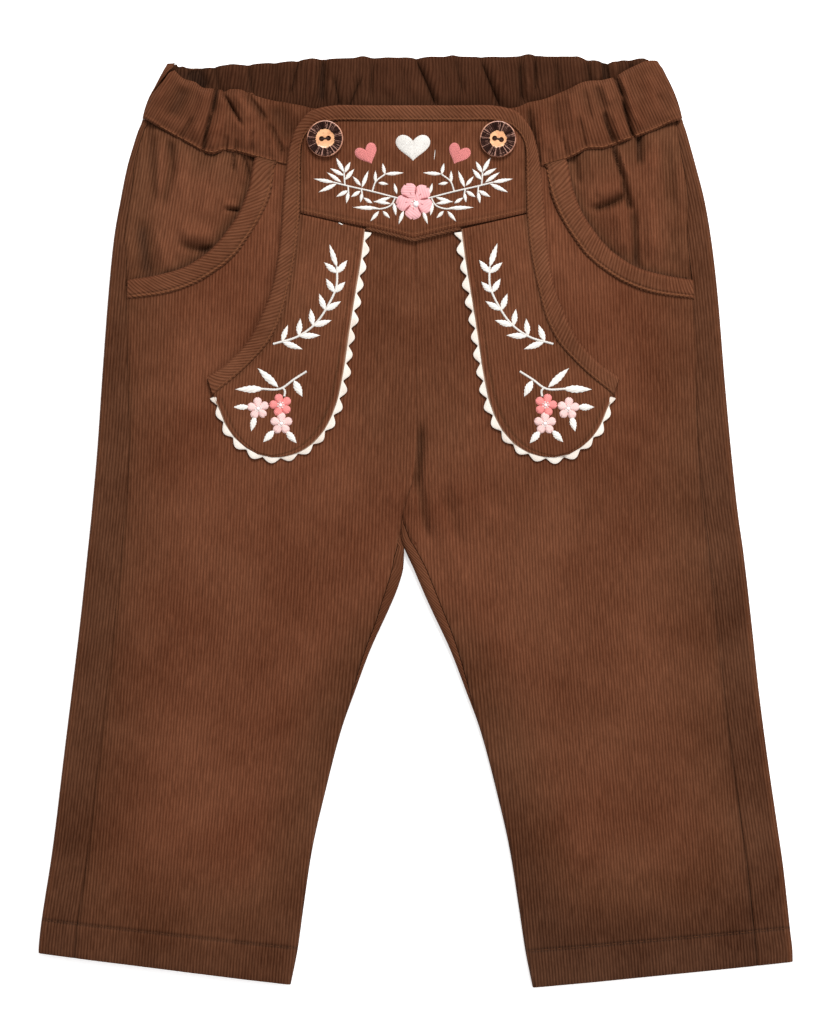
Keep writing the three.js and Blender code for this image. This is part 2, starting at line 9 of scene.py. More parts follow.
import bpy
import numpy as np
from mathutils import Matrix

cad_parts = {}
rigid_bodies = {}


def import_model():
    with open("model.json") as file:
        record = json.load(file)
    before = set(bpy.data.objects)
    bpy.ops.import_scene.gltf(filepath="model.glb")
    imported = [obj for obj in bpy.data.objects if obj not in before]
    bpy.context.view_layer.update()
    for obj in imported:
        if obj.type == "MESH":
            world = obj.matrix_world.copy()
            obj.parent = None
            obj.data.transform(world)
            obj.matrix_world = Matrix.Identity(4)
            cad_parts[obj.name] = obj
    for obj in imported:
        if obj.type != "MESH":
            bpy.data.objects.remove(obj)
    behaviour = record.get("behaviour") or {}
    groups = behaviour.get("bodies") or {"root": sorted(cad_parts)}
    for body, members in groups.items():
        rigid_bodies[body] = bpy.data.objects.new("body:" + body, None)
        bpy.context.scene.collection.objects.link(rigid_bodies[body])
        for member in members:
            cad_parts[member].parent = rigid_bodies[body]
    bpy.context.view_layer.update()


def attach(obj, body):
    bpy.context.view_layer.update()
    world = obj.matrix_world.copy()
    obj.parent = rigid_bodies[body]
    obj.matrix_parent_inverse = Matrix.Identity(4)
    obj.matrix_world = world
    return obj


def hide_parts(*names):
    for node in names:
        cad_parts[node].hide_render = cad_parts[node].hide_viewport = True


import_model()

bl_info = {
    "name": "Folk dress corduroy trousers",
    "version": (1, 0, 0),
    "blender": (4, 5, 0),
    "location": "3D View > Sidebar > Trousers",
    "description": "Makes the cloth, stitching, embroidery and buttons of laid corduroy trousers",
    "category": "Object",
}

MM = 0.001

# ---------------------------------------------------------------- sizes shared with the solids
SEAM_GAP = 0.3
LAID_HEIGHT = 7.0
FOLD_RADIUS = 2.6
CROWN_WIDTH = 28.0
BAND_HEIGHT = 9.4
BAND_FOLD_RADIUS = 4.0
BAND_FLAT_HALF = 62.0
BAND_PUFF_HALF = 71.0
SIDE_EDGE_Y = 177.0
WAIST_MIDDLE_Y = 153.0
CROTCH_Y = -12.0
WRAP_FROM_Y = 14.0
WRAP_FULL_Y = -2.0
HEM_DEPTH = 16.0
FLAP_TOP = 9.3
FLAP_CENTRE_X = -1.0
POCKET_SHIFT_X = -2.2
POCKET_LIFT = 14.0
BAG_DROP = 2.4
HIP_SHARE = 0.47
TUCK = 0.5
BUTTON_PLACES = {"right": (-39.7, 167.6), "left": (36.2, 167.4)}
BUTTON_BASE = FLAP_TOP + 0.05
SIDES = {
    "right": {"sign": -1, "hem_outer": -190.5, "hem_inner": -204.4},
    "left": {"sign": 1, "hem_outer": -194.3, "hem_inner": -205.7},
}


def table(names, rows):
    """Named columns, sorted by the first one, which they are read by."""
    rows = sorted(rows)
    return {name: np.array([row[k] for row in rows], float) for k, name in enumerate(names)}


OUTLINE = table(["y", "right", "left"], [
    (202, 109, 106.6), (199.5, 110.3, 108.6), (196, 112.2, 110.4), (191, 114.8, 112.9),
    (186, 117.5, 115), (180.6, 119.4, 116.7), (175.5, 120.6, 117.9), (171.8, 122.2, 119.2),
    (164, 124.7, 121.4), (156.4, 126.9, 123.5), (141, 130, 127.4), (125.6, 132.7, 130.1),
    (110, 134.4, 132.1), (95, 135.7, 133.6), (64, 138, 136.1), (33, 140.1, 138.9), (2.4, 142.8, 142.2),
    (-13, 144.4, 144.4), (-44, 147.7, 148), (-75, 151.4, 151.3), (-105, 155.1, 155.2),
    (-136, 158.8, 159.7), (-152, 161, 162), (-167, 163.4, 163.7), (-182, 165.5, 165.3),
    (-190, 166.1, 166.2), (-196, 166.1, 166.3),
])
LEG_GAP = table(["y", "half_width", "centre"], [
    (-12, -0.1, -5), (-16, 0.9, -4.2), (-22, 2.5, -3), (-31, 5.8, -2.5), (-39, 9.3, -2.4),
    (-57, 17.6, -2.3), (-75, 24.4, -2.2), (-92, 30.5, -2.1), (-119, 37.6, -2), (-145, 43.5, -2),
    (-171, 47.5, -1.9), (-189, 50.1, -1.8), (-206, 53.5, -1.8),
])
CENTRE_SEAM = table(["y", "x"], [
    (160, 0), (34, 0), (19, -1.3), (10.5, -3.8), (3, -5.8), (-3, -6.7), (-8, -6.5), (-12, -5),
])
SIDE_SEAM = table(["y", "right", "left"], [
    (178, 2.9, 3), (161, 2.9, 5.4), (147.5, 4.2, 6.6), (136, 4.5, 8.6), (126, 4.8, 10.5), (114, 6.9, 11),
    (105, 7.5, 10.8), (88, 8.9, 11.3), (18, 14.6, 14.8), (-35, 15.2, 15.2), (-195, 16, 16),
])
BAND_SEAM = table(["y", "right", "left"], [
    (177, 0.4, 0.4), (188, 0.4, 0.4), (196, 2.4, 0.5), (202, 3.8, 0.7),
])
INSEAM = table(["y", "right", "left"], [
    (4, 0, 0), (-4, 1.4, 4.2), (-12, 4.6, 6.4), (-18, 6, 6.9), (-25, 6.5, 7.0), (-34, 6.1, 6.7),
    (-46, 4.5, 5.9), (-57, 3.7, 4.8), (-75, 2.4, 2.9), (-92, 0.5, 0.6), (-206, 0.5, 0.5),
])
# The waist seam on the front, which the elastic has drawn into waves, and the band's top edge.
WAIST_SEAM = table(["x", "right", "left"], [
    (0, 153, 153), (40, 153.6, 153.6), (54, 155.6, 155.2), (60, 156.8, 156.9), (66, 158.4, 158.6),
    (72, 160, 161.4), (75, 160.9, 163), (79, 161.9, 163.3), (82, 162.4, 163.3),
    (85, 162.3, 164.2), (89, 161, 165.6), (93.5, 162.1, 167.2), (98, 164.6, 168.8),
    (105, 168.4, 171.5), (112, 172.4, 174.7), (119, 176.6, 176.9),
])
BAND_TOP = table(["x", "right", "left"], [
    (0, 181, 181), (41, 181.3, 181.4), (45, 181.3, 181.9), (49.4, 182.4, 183.8), (55.9, 183.6, 185.2),
    (62, 184.7, 187.6), (69, 186.4, 190.6), (73.6, 188, 192.8), (77.1, 189.6, 193.5),
    (81.1, 189.8, 193.6), (84.1, 188.6, 194.2), (87.1, 189.9, 195), (92.7, 190.1, 198.2),
    (97.2, 193, 200.4), (101.7, 194.2, 202.2), (106, 198, 202.4), (109, 200.8, 201.6),
    (119, 201, 201.6),
])
BACK_WAIST = table(["x", "seam", "right", "left"], [
    (0, 178.5, 204.2, 204.2), (21, 178, 204.2, 204.7), (40, 177.5, 203.9, 204.6),
    (49, 177, 203.5, 205.2), (57, 176.4, 202.5, 204.4), (66, 175.8, 202, 204.8),
    (77, 175.4, 201.2, 203.2), (85, 175.4, 200.9, 202), (92, 175.5, 200, 203.2),
    (101, 176, 200, 203.4), (107, 176.4, 200.2, 202.4), (119, 177, 200.2, 202),
])
# A pocket's mouth and the stitched edge of its binding, from the waist seam to the side seam.
POCKET = {
    "mouth": [(67.6, 158.2), (72, 144.5), (76, 134.8), (82.7, 125), (86.2, 121), (90, 117.5),
              (99.5, 111.5), (111.6, 108), (124.3, 106)],
    "stitch": [(58.7, 155.6), (61.8, 142.5), (67, 131), (75, 119), (79.3, 114.4), (84, 110.5),
               (94, 104.3), (107, 99.6), (124.6, 97.3)],
}
# The flap's binding, from the middle of its top edge to the tip of a wing.
FLAP_BINDING = {
    "edge": [(0, 182.4), (20, 182.4), (34.4, 182.4), (44.5, 180.2), (48.7, 176.5), (51.8, 172),
             (53.8, 166.5), (55.4, 158.5), (56.9, 146), (58.2, 128), (59.5, 116), (62, 103),
             (66, 92), (71, 81.5), (76, 74.8), (83, 68), (90.5, 63)],
    "stitch": [(0, 175.5), (20, 175.5), (34, 175.5), (41.8, 173.8), (45.6, 171), (48, 167.6),
               (49.3, 163.5), (49.6, 157), (49.6, 145), (50.3, 129), (52, 115), (55, 101),
               (58.4, 88.5), (63.5, 78.5), (70, 71), (77.5, 63.8), (88, 55.2)],
}
YOKE_SIDE = table(["y", "half_width"], [
    (175.2, 33.6), (173.4, 40.8), (170.8, 44.3), (167.4, 46.7), (163.5, 48.3), (124, 49.2),
])
YOKE_HEM = table(["x", "y"], [(0, 124.1), (20, 129), (32, 131.3), (50, 135.3)])
WING_INNER = [
    (21.2, 128), (23, 114), (25, 102), (28.2, 82), (30.9, 64), (34.1, 50.3), (39.4, 39.3),
    (46.9, 31.8), (57, 28), (62, 27.7),
]
WING_OUTER = [
    (49.1, 134.4), (49.9, 129), (51.6, 115), (54.6, 101), (58, 88.4), (63, 78.2), (69.6, 70.6),
    (77.1, 63.4), (86.8, 55), (84.6, 47.4), (80.9, 39.6), (75, 33.1), (68.5, 29.1),
]
WING_TIP = 8

# Creases: x and y of one end, x and y of the other, then the bow, the half width and the height,
# which is below zero for a trough and above it for a ridge.
FRONT_BAND_CREASES = [
    (-87.3, 193, -89.9, 177, 0.4, 0.85, -4.0), (-89, 182, -94, 160, -0.3, 0.8, -3.8),
    (-92, 192, -98, 166, 1, 2.8, 2.6), (-83.8, 188, -88.5, 168, 0.9, 2.2, 1.8),
    (-85.6, 189, -75.4, 172, 0.3, 0.8, -3), (-80.6, 189, -71.5, 174, 0.5, 2.4, 2.2),
    (-75.2, 189, -64, 174.2, -0.3, 1.4, -2.8), (-66, 177, -57.6, 158, 0.9, 1.4, -2.6),
    (-80, 180, -70, 163, 0, 4.4, 2.2), (-63, 184, -53.5, 166, 0, 5, -2.6),
    (-102, 192, -108.5, 176, 0.8, 3.6, -2.8), (-97.2, 178, -105, 166, 0, 1.1, -2),
    (-107, 200, -115, 182, 0, 2.6, 1.8), (-71.6, 173, -72.4, 161, 0, 0.8, -1.8),
    (-83, 170, -84.4, 160, 0, 1.2, -1.5), (-79, 168, -79.6, 160, 0, 0.8, -1.2),
    (-64, 168, -65, 157, 0, 1, -1), (-87.6, 174, -89, 161, 0, 2.4, 1.3),
    (-56, 165, -56.6, 155, 0, 1, -1.2), (86.6, 199, 92.4, 184, -0.2, 0.85, -4.1),
    (91, 188, 97.4, 165, -0.9, 0.85, -4), (90, 197, 99.8, 171, -0.9, 1.6, 2.4),
    (102, 198, 108, 176, 0, 4, 1.4), (78, 193, 83.4, 178, 0, 2, -2),
    (82.4, 182, 88.4, 164, -0.7, 1.2, -3.4), (87, 180, 91.6, 165, -0.4, 1.4, 1.8),
    (82, 194, 86, 182, 0, 2, 1.4), (73.6, 191, 77, 175, 0, 1.4, -1.6),
    (71.4, 178, 74.8, 162, 0, 1.4, -1.8), (67, 189, 70.4, 172, 0, 2.2, 1.4),
    (60.5, 187, 62.4, 168, 0, 2, -1.5), (49.2, 183, 52.4, 164, -0.3, 1.4, -4),
    (52, 168, 54.6, 154, 0, 1.3, -3), (55.4, 184, 57.6, 162, 0, 2.4, 1.5),
    (58.5, 164, 61, 154.6, 0, 1, -1.3), (64, 170, 67, 158, 0, 1, -1.1),
    (106, 188, 112.5, 178, 0, 2, -1.3),
]
BACK_BAND_CREASES = [
    (-0.5, 204, 9.7, 181, 0.4, 1.5, -3.0), (28, 204, 38.2, 180, 0, 1.4, -2.8),
    (-40.6, 205, -41.4, 182, 0, 2.4, -3.2), (-36.2, 197, -33, 180, 0, 1.6, -2.0),
    (-23.8, 196, -30, 180, 0, 1.5, -2.2), (-45.6, 204, -47, 184, 0, 1.5, 1.5),
    (4, 204, 13, 182, 0, 2.6, 1.4), (-6, 205, 2.5, 184, 0, 2.6, 1.1), (33, 204, 42, 181, 0, 2.4, 1.4),
    (-19, 204, -20, 184, 0, 1.6, -1.4), (-13, 205, -11, 186, 0, 2.4, 1.0),
    (17, 205, 21, 186, 0, 1.7, -1.4), (46, 204, 47.6, 182, -0.6, 1.8, -2.6),
    (52.4, 205, 52.8, 188, 0, 1.5, -2.2), (49.4, 205, 50.2, 184, 0, 1.6, 1.2),
    (61, 204, 64, 186, 0, 1.8, -1.4), (75.4, 203, 77.6, 190, 0, 1.8, -2.4),
    (82, 204, 84.6, 190, 0, 3.4, -3.4), (80, 203, 81, 192, 0, 1.0, 1.6),
    (86.6, 204, 88, 192, 0, 1.2, 1.6), (71, 204, 71, 188, 0, 2.6, 1.2),
    (-51, 204, -55.6, 186, 0, 1.4, -2.4), (-62, 203, -60, 186, 0, 2.0, -1.0),
    (-74, 202, -72, 186, 0, 1.8, -1.6), (-81, 202, -80, 188, 0, 2.0, 1.0),
    (-89, 202, -86, 186, 0, 1.8, -1.5), (-99, 200.5, -93.5, 188, 0, 4.6, -3.4),
    (-97, 201, -96, 191, 0, 0.9, 1.1), (94, 203, 97, 192, 0, 2.0, -1.6),
]
FRONT_CREASES = {
    "right": [
        (-64, 152, -62, 128, 0, 2.6, -0.45), (-60, 108, -86, 92, 3, 7, 0.5),
        (-56, 60, -62, -40, 3, 9, 0.35), (-20, 20, -46, -6, 2, 6, -0.5),
        (-10, -2, -40, -26, 2, 5, 0.55), (-7, 26, -14, -14, 0, 3, 0.5),
        (-30, -44, -58, -64, 2, 7, 0.5), (-12, 30, -3, 6, 0.8, 3, -0.5),
        (-108, 80, -116, 30, 2, 8, -0.45), (-120, -20, -132, -90, 2, 9, 0.45),
        (-92, -96, -76, -170, 4, 11, 0.5), (-70, -90, -60, -160, 2, 8, -0.4),
        (-140, -120, -147, -180, 0, 6, -0.4), (-100, -178, -60, -187, 1, 5, -0.35),
        (-128, 92, -122, 60, 0, 4, 0.4), (-88, 18, -100, -50, 2, 12, -0.4),
    ],
    "left": [
        (63, 152, 61, 126, 0, 2.6, -0.4), (62, 106, 88, 90, -3, 7, 0.5), (58, 50, 64, -40, -3, 9, 0.4),
        (14, 22, 44, -4, -2, 6, 0.6), (2.4, 46, 0.2, 8, 0, 2.2, -2.8),
        (0.4, 22, 5.6, -10, 0, 2.1, -2.3), (12.6, 16, 20, -14, 0, 2.4, -1.6),
        (22, -40, 52, -66, -2, 7, 0.5), (8, 10, 22, -34, 0, 4, 0.8), (110, 78, 117, 26, -2, 8, -0.45),
        (122, -24, 134, -96, -2, 9, 0.45), (90, -92, 74, -168, -4, 11, 0.5),
        (68, -96, 57, -160, -2, 8, -0.4), (141, -110, 148, -184, 0, 6, -0.5),
        (100, -180, 62, -189, 1, 5, -0.35), (128, 90, 121, 58, 0, 4, 0.4),
        (92, 20, 104, -54, -2, 12, -0.4),
    ],
}
BAG_CREASES = {
    "right": [
        (-108.6, 169, -107.6, 150, 0.4, 1.8, -2.6), (-107.2, 158, -112.4, 136, 0.5, 1.9, -2.2),
        (-101.5, 168, -102.5, 138, 0, 3.0, 1.3), (-112.4, 168, -113.4, 140, 0, 1.8, 1.0),
        (-117.4, 178, -115.4, 136, 0, 2.4, -1.9), (-80.1, 163, -80.4, 152.6, 0, 1.0, -1.9),
        (-76.4, 162, -71.6, 148.6, 0, 1.0, -1.8), (-84.5, 162, -91, 146, 0, 2.6, 1.1),
        (-78, 160, -76, 147, 0, 1.5, 0.9), (-85, 137, -75.6, 135.6, 0.3, 0.8, -2.2),
        (-85, 139.8, -77, 138.4, 0, 1.6, 0.9), (-105.5, 121.6, -84.6, 118.6, -0.8, 1.8, -2.7),
        (-105, 127.4, -88, 125.2, -0.8, 3.2, 2.2), (-121, 134, -117.6, 104, 0, 4.2, -3.0),
        (-90, 166, -101, 140, -2, 1.8, -0.9), (-93.5, 150, -94.5, 132, 1, 3, 0.8),
        (-112, 124, -108, 108, 0, 2.6, 0.8), (-70.5, 158, -68.6, 147, 0, 1.4, -1.2),
    ],
    "left": [
        (98.2, 171.5, 98.6, 154.6, 0, 1.5, -3.2), (103.6, 172, 104.5, 150, 0, 2.8, 1.4),
        (86.6, 167, 93.2, 146, -0.6, 1.1, -3.0), (91, 152, 95.8, 135, -0.6, 1.5, -3.8),
        (89, 165, 94.6, 150, -0.4, 1.2, 1.8), (94.6, 144.6, 76, 136.6, 1.2, 1.6, -4.0),
        (92, 148.4, 79, 143, 0.5, 2.4, 1.5), (95.2, 140, 97, 108, 0.6, 1.8, -3.2),
        (88.4, 138, 91.4, 116, 0.5, 3.6, 2.0), (110, 168, 112.4, 134, 0, 2.6, -1.6),
        (103.6, 142, 104.4, 116, 0, 2.2, 1.0), (116, 160, 117.5, 126, 0, 2.2, 1.0),
        (113.6, 130, 112, 110, 0, 3, -1.2), (99.8, 132, 101, 112, 0, 1.8, -0.9),
        (69.5, 161, 72, 147, 0, 1.6, -1.4), (77, 164, 79, 150, 0, 1.6, 0.8),
    ],
}
WING_CREASES = [
    (-30, 121, -24.5, 113, 0.5, 1.6, -0.5), (-46, 70, -40, 44, 1, 5, 0.3),
    (26, 120, 31, 108, -0.5, 2.0, -0.3), (48, 70, 40, 44, -1, 5, 0.3), (-66, 62, -74, 44, 0, 4, -0.25),
    (70, 60, 74, 42, 0, 4, -0.25),
]
YOKE_CREASES = [
    (-26, 168, -22, 152, 0, 3.0, 0.25), (14, 172, 16, 158, 0, 3, -0.2), (26, 160, 33, 144, 0, 3.5, 0.2),
    (-42, 160, -30, 150, 1, 3, -0.25),
]
BACK_CREASES = {
    "right": [
        (-40, 60, -70, -20, 4, 7, 1.0), (-12, 8, -50, -28, 3, 5, 1.2), (-90, 120, -100, 20, 4, 9, 0.9),
        (-60, -60, -90, -150, 5, 8, 0.8), (-110, -40, -128, -140, 3, 7, 0.8),
        (-30, 140, -34, 60, 2, 6, 0.7), (-64, 168, -66, 150, 0, 2, 1.0),
        (-96, 168, -99, 148, 0, 2, 1.0), (-20, 168, -22, 154, 0, 2, 0.8),
    ],
    "left": [
        (38, 64, 66, -16, -4, 7, 1.0), (6, 6, 46, -32, -3, 5, 1.2), (92, 116, 101, 16, -4, 9, 0.9),
        (58, -64, 86, -154, -5, 8, 0.8), (112, -44, 130, -136, -3, 7, 0.8),
        (28, 144, 32, 58, -2, 6, 0.7), (60, 168, 63, 151, 0, 2, 1.0), (92, 168, 96, 146, 0, 2, 1.0),
        (24, 168, 27, 152, 0, 2, 0.8),
    ],
}


# ---------------------------------------------------------------- reading tables and curves
def together(*columns):
    """Columns of numbers as rows: the places, one after another."""
    return np.stack(columns, axis=-1)


def lerp(start, end, share):
    return start + (end - start) * share


def part(value, low, high):
    """How far the value is from low to high, as a share that stays between 0 and 1."""
    return np.clip((value - low) / (high - low), 0, 1)


def smoothstep(value, low, high):
    share = part(value, low, high)
    return share * share * (3 - 2 * share)


def bell(distance, width):
    """1 at no distance, falling off evenly to both sides."""
    return np.exp(-((distance / width) ** 2))


def cubic_between(keys, values, tangents, at):
    """A smooth curve through the values, with the given slopes at them."""
    at = np.clip(at, keys[0], keys[-1])
    k = np.clip(np.searchsorted(keys, at, side="right") - 1, 0, len(keys) - 2)
    step = keys[k + 1] - keys[k]
    t = (at - keys[k]) / step
    rise = values[k] * (2 * t**3 - 3 * t**2 + 1) + values[k + 1] * (3 * t**2 - 2 * t**3)
    return rise + step * (tangents[k] * (t**3 - 2 * t**2 + t) + tangents[k + 1] * (t**3 - t**2))


def read(columns, at, name):
    """The column's value where the first column is at the given places, with no overshoot."""
    keys = next(iter(columns.values()))
    slopes = np.diff(columns[name]) / np.diff(keys)
    tangents = np.zeros(len(keys))
    tangents[0], tangents[-1] = slopes[0], slopes[-1]
    before, after = slopes[:-1], slopes[1:]
    same = before * after > 0
    total = np.where(same, before + after, 1)
    tangents[1:-1] = np.where(same, 2 * before * after / total, 0)
    return cubic_between(keys, columns[name], tangents, np.asarray(at, float))


def path_lengths(points):
    points = np.asarray(points, float)
    steps = np.linalg.norm(np.diff(points, axis=0), axis=1)
    return np.concatenate([[0], np.cumsum(steps)])


def along_path(points, share):
    """The places at shares of a smooth curve through the points."""
    points = np.asarray(points, float)
    keys = path_lengths(points)
    steps = np.diff(keys)
    at = np.asarray(share, float) * keys[-1]
    columns = []
    for values in points.T:
        slopes = np.diff(values) / steps
        tangents = np.empty(len(keys))
        tangents[0], tangents[-1] = slopes[0], slopes[-1]
        weight = steps[:-1] + steps[1:]
        tangents[1:-1] = (slopes[:-1] * steps[1:] + slopes[1:] * steps[:-1]) / weight
        columns.append(cubic_between(keys, values, tangents, at))
    return together(*columns)


def unit(vectors):
    return vectors / np.linalg.norm(vectors, axis=1)[:, None]


def walk(fine, at, reach):
    """The places at lengths along a finely divided line, and its directions there."""
    lengths = path_lengths(fine)
    place, ahead, behind = (together(*(np.interp(at + step, lengths, column) for column in fine.T))
                            for step in (0, reach, -reach))
    return place, unit(ahead - behind)


def even_path(points, pitch):
    """Places along the curve about one pitch apart, with their directions."""
    fine = along_path(points, np.linspace(0, 1, 600))
    length = path_lengths(fine)[-1]
    count = max(2, round(length / pitch))
    return walk(fine, (np.arange(count) + 0.5) / count * length, 0.4)


def graded(t, marks):
    """Even steps drawn closer together round the marks: place, reach and strength."""
    s = np.linspace(0, 1, 3001)
    density = np.ones_like(s)
    for place, reach, strength in marks:
        density += strength * bell(s - place, reach)
    total = np.concatenate([[0], np.cumsum((density[1:] + density[:-1]) / 2)])
    return np.interp(t, total / total[-1], s)


def crease_height(x, y, creases):
    """The soft troughs and ridges of the creases, fading out at their ends."""
    ridges, troughs = np.zeros_like(x), np.zeros_like(x)
    for x0, y0, x1, y1, bow, width, height in creases:
        run_x, run_y = x1 - x0, y1 - y0
        length = math.hypot(run_x, run_y)
        along = ((x - x0) * run_x + (y - y0) * run_y) / length**2
        away = ((y - y0) * run_x - (x - x0) * run_y) / length
        away = away - bow * 4 * along * (1 - along)
        fade = smoothstep(np.minimum(along, 1 - along), -0.03, 0.27)
        shape = abs(height) * fade * bell(away, width)
        if height > 0:
            ridges += shape
        else:
            troughs += shape**3
    return ridges - np.cbrt(troughs)


def crease_shade_and_highlight(height, share=0.34):
    """Painted shade and highlight of the creases: darker down in them and lighter on the ridges."""
    deep = 2.4
    return np.clip(height * np.where(height < 0, np.abs(height) / deep, 1) * share, -1.3, 0.3)


def ripple(x, y, size, seed):
    """A gentle unevenness, the same on each run, from a few crossing waves about one size long."""
    random, waves = np.random.default_rng(seed), 7
    total = np.zeros_like(x)
    for _ in range(waves):
        angle, phase = random.uniform(0, math.pi), random.uniform(0, 2 * math.pi)
        length = size * random.uniform(0.6, 1.6)
        total += np.sin((x * math.cos(angle) + y * math.sin(angle)) * 2 * math.pi / length + phase)
    return total / waves


def seam_roll(distance, reach=1.1):
    """1 at a sewn edge, where the cloth turns down, and 0 a little way in."""
    return np.exp(-((np.maximum(distance, 0) / reach) ** 1.5))


# ---------------------------------------------------------------- heights of the laid cloth
def by_side(columns, at, x):
    """The right or the left column, by the side that x is on."""
    return np.where(x < 0, read(columns, at, "right"), read(columns, at, "left"))


def outline_at(y, x):
    return by_side(OUTLINE, y, x)


def waist_seam(x):
    return by_side(WAIST_SEAM, np.abs(x), x)


def band_top(x):
    return by_side(BAND_TOP, np.abs(x), x)


def crown_drop(inset):
    rise = np.sin(math.pi / 2 * part(inset, FOLD_RADIUS, FOLD_RADIUS + CROWN_WIDTH))
    return (LAID_HEIGHT - 2 * FOLD_RADIUS) * (1 - rise)


def wrap_at(y):
    """How far the centre seams have drawn together: 0 over the seat, 1 from the crotch down."""
    return smoothstep(-np.asarray(y, float), -WRAP_FROM_Y, -WRAP_FULL_Y)


def front_height(x, y):
    """The outside of the front, away from its folds."""
    from_outline = outline_at(y, x) - np.abs(x)
    on_hip = y > CROTCH_Y
    middle = np.where(on_hip, read(CENTRE_SEAM, y, "x"), read(LEG_GAP, y, "centre"))
    half_gap = np.where(on_hip, SEAM_GAP / 2, read(LEG_GAP, y, "half_width"))
    from_gap = np.abs(x - middle) - half_gap
    return LAID_HEIGHT - crown_drop(from_outline) - wrap_at(y) * crown_drop(from_gap)


def band_height(x, y):
    puff = smoothstep(np.abs(x), BAND_FLAT_HALF, BAND_PUFF_HALF)
    inset = outline_at(y, x) - np.abs(x)
    rise = np.sqrt(part(inset, BAND_FOLD_RADIUS, BAND_FOLD_RADIUS + CROWN_WIDTH))
    fall = (BAND_HEIGHT - 2 * BAND_FOLD_RADIUS) * (1 - rise)
    over_fold = BAND_FOLD_RADIUS - np.clip(inset, 0, BAND_FOLD_RADIUS)
    fall += BAND_FOLD_RADIUS - np.sqrt(BAND_FOLD_RADIUS**2 - over_fold**2)
    return lerp(LAID_HEIGHT, BAND_HEIGHT - fall, puff)


def fold_place(travel, radius):
    """How far in and how high cloth is that turns over at the outline, by its travel from it,
    and whether it lies flat there."""
    angle = np.clip(travel / radius, -math.pi / 2, math.pi / 2)
    beyond = np.maximum(np.abs(travel) - radius * math.pi / 2, 0)
    return radius - radius * np.cos(angle) + beyond, radius + radius * np.sin(angle), beyond > 0


# ---------------------------------------------------------------- the lines across one leg
class Rows:
    """The line across one leg at each share of the way from the waist seam to the hem."""

    def __init__(self, side, share):
        size = SIDES[side]
        self.side, self.sign = side, size["sign"]
        self.on_hip = share < HIP_SHARE
        self.down, self.leg = part(share, 0, HIP_SHARE), part(share, HIP_SHARE, 1)
        hip_y = lerp(SIDE_EDGE_Y - SEAM_GAP, CROTCH_Y, self.down)
        self.outer_y = np.where(self.on_hip, hip_y, lerp(CROTCH_Y, size["hem_outer"], self.leg))
        centre_y = lerp(WAIST_MIDDLE_Y, CROTCH_Y, self.down)
        self.inner_y = np.where(self.on_hip, centre_y, lerp(CROTCH_Y, size["hem_inner"], self.leg))
        self.outer_x = self.sign * outline_at(self.outer_y, self.sign)
        seam_x = read(CENTRE_SEAM, self.inner_y, "x")
        seam_x += self.sign * lerp(0.02, -0.15, wrap_at(self.inner_y))
        gap = self.sign * read(LEG_GAP, self.inner_y, "half_width")
        leg_x = read(LEG_GAP, self.inner_y, "centre") + gap
        self.inner_x = np.where(self.on_hip, seam_x, leg_x)
        run_x = self.inner_x - self.outer_x
        run_y = np.where(self.on_hip, 0, self.inner_y - self.outer_y)
        self.width = np.hypot(run_x, run_y)
        self.step_x, self.step_y = run_x / self.width, run_y / self.width
        self.on_leg = np.where(self.on_hip, 0, 1)
        self.from_hem_stitch = (1 - self.leg) * np.abs(size["hem_inner"] - CROTCH_Y) - HEM_DEPTH

    def place(self, inset, front):
        """The point of a row so far in from the outline, on the front or on the floor."""
        x = self.outer_x + self.step_x * inset
        top = waist_seam(x) + TUCK if front else read(BACK_WAIST, np.abs(x), "seam")
        y = np.where(self.on_hip, lerp(top, CROTCH_Y, self.down), self.outer_y + self.step_y * inset)
        z = front_height(x, y) if front else np.zeros_like(x)
        return together(x, y, z)

    def outer_fold(self, travel):
        inset, height, _ = fold_place(travel, FOLD_RADIUS)
        x = self.outer_x + self.step_x * inset
        return together(x, self.outer_y + self.step_y * inset, height)

    def inner_fold(self, travel, front):
        """Near the inner fold. Over the seat there is no fold yet, and both layers lie flat."""
        inset, height, flat = fold_place(travel, FOLD_RADIUS)
        laid = self.place(self.width - inset, front)
        x = self.inner_x - self.step_x * inset
        folded = together(x, self.inner_y - self.step_y * inset, height)
        share = np.where(flat, 0, wrap_at(self.inner_y))[:, None]
        return lerp(laid, folded, share)


def hem_shape(rows):
    """The turned-up hem stands a little proud, below a groove at its stitches."""
    proud = 0.55 * smoothstep(-rows.from_hem_stitch, -0.6, 0.9)
    groove = -0.55 * bell(rows.from_hem_stitch, 0.75)
    edge = -0.7 * seam_roll(rows.from_hem_stitch + HEM_DEPTH, 1.2)
    return (proud + groove + edge) * rows.on_leg


# ---------------------------------------------------------------- the weave
LEAN_Y = np.linspace(-210, 160, 371)
LEAN = np.tan(np.radians(lerp(4.8, 2.3, smoothstep(LEAN_Y, -90, 20))))
LEAN_RUN = np.cumsum(LEAN[::-1])[::-1]


def leg_weave(x, y):
    """Cloth millimetres across and along the wales, which lean out towards the hems."""
    share = lerp(0.6, 1, smoothstep(np.abs(x), 0, 45))
    return together(np.abs(x) - share * np.interp(y, LEAN_Y, LEAN_RUN), y)


def bias_weave(along, across, degrees):
    """The same for a strip cut on the bias, from its own length and width."""
    turn = math.radians(degrees)
    return together(across * math.cos(turn) - along * math.sin(turn),
                    along * math.cos(turn) + across * math.sin(turn))


# ---------------------------------------------------------------- making pieces
UP, DOWN = (0, 0, 1), (0, 0, -1)


def deselect():
    for thing in bpy.context.selected_objects:
        thing.select_set(False)


def activate(piece):
    deselect()
    piece.select_set(True)
    bpy.context.view_layer.objects.active = piece


def added(operator, name, **settings):
    """Adds a primitive, a lamp or a camera with nothing else selected."""
    deselect()
    operator(**settings)
    thing = bpy.context.object
    thing.name = thing.data.name = name
    return thing


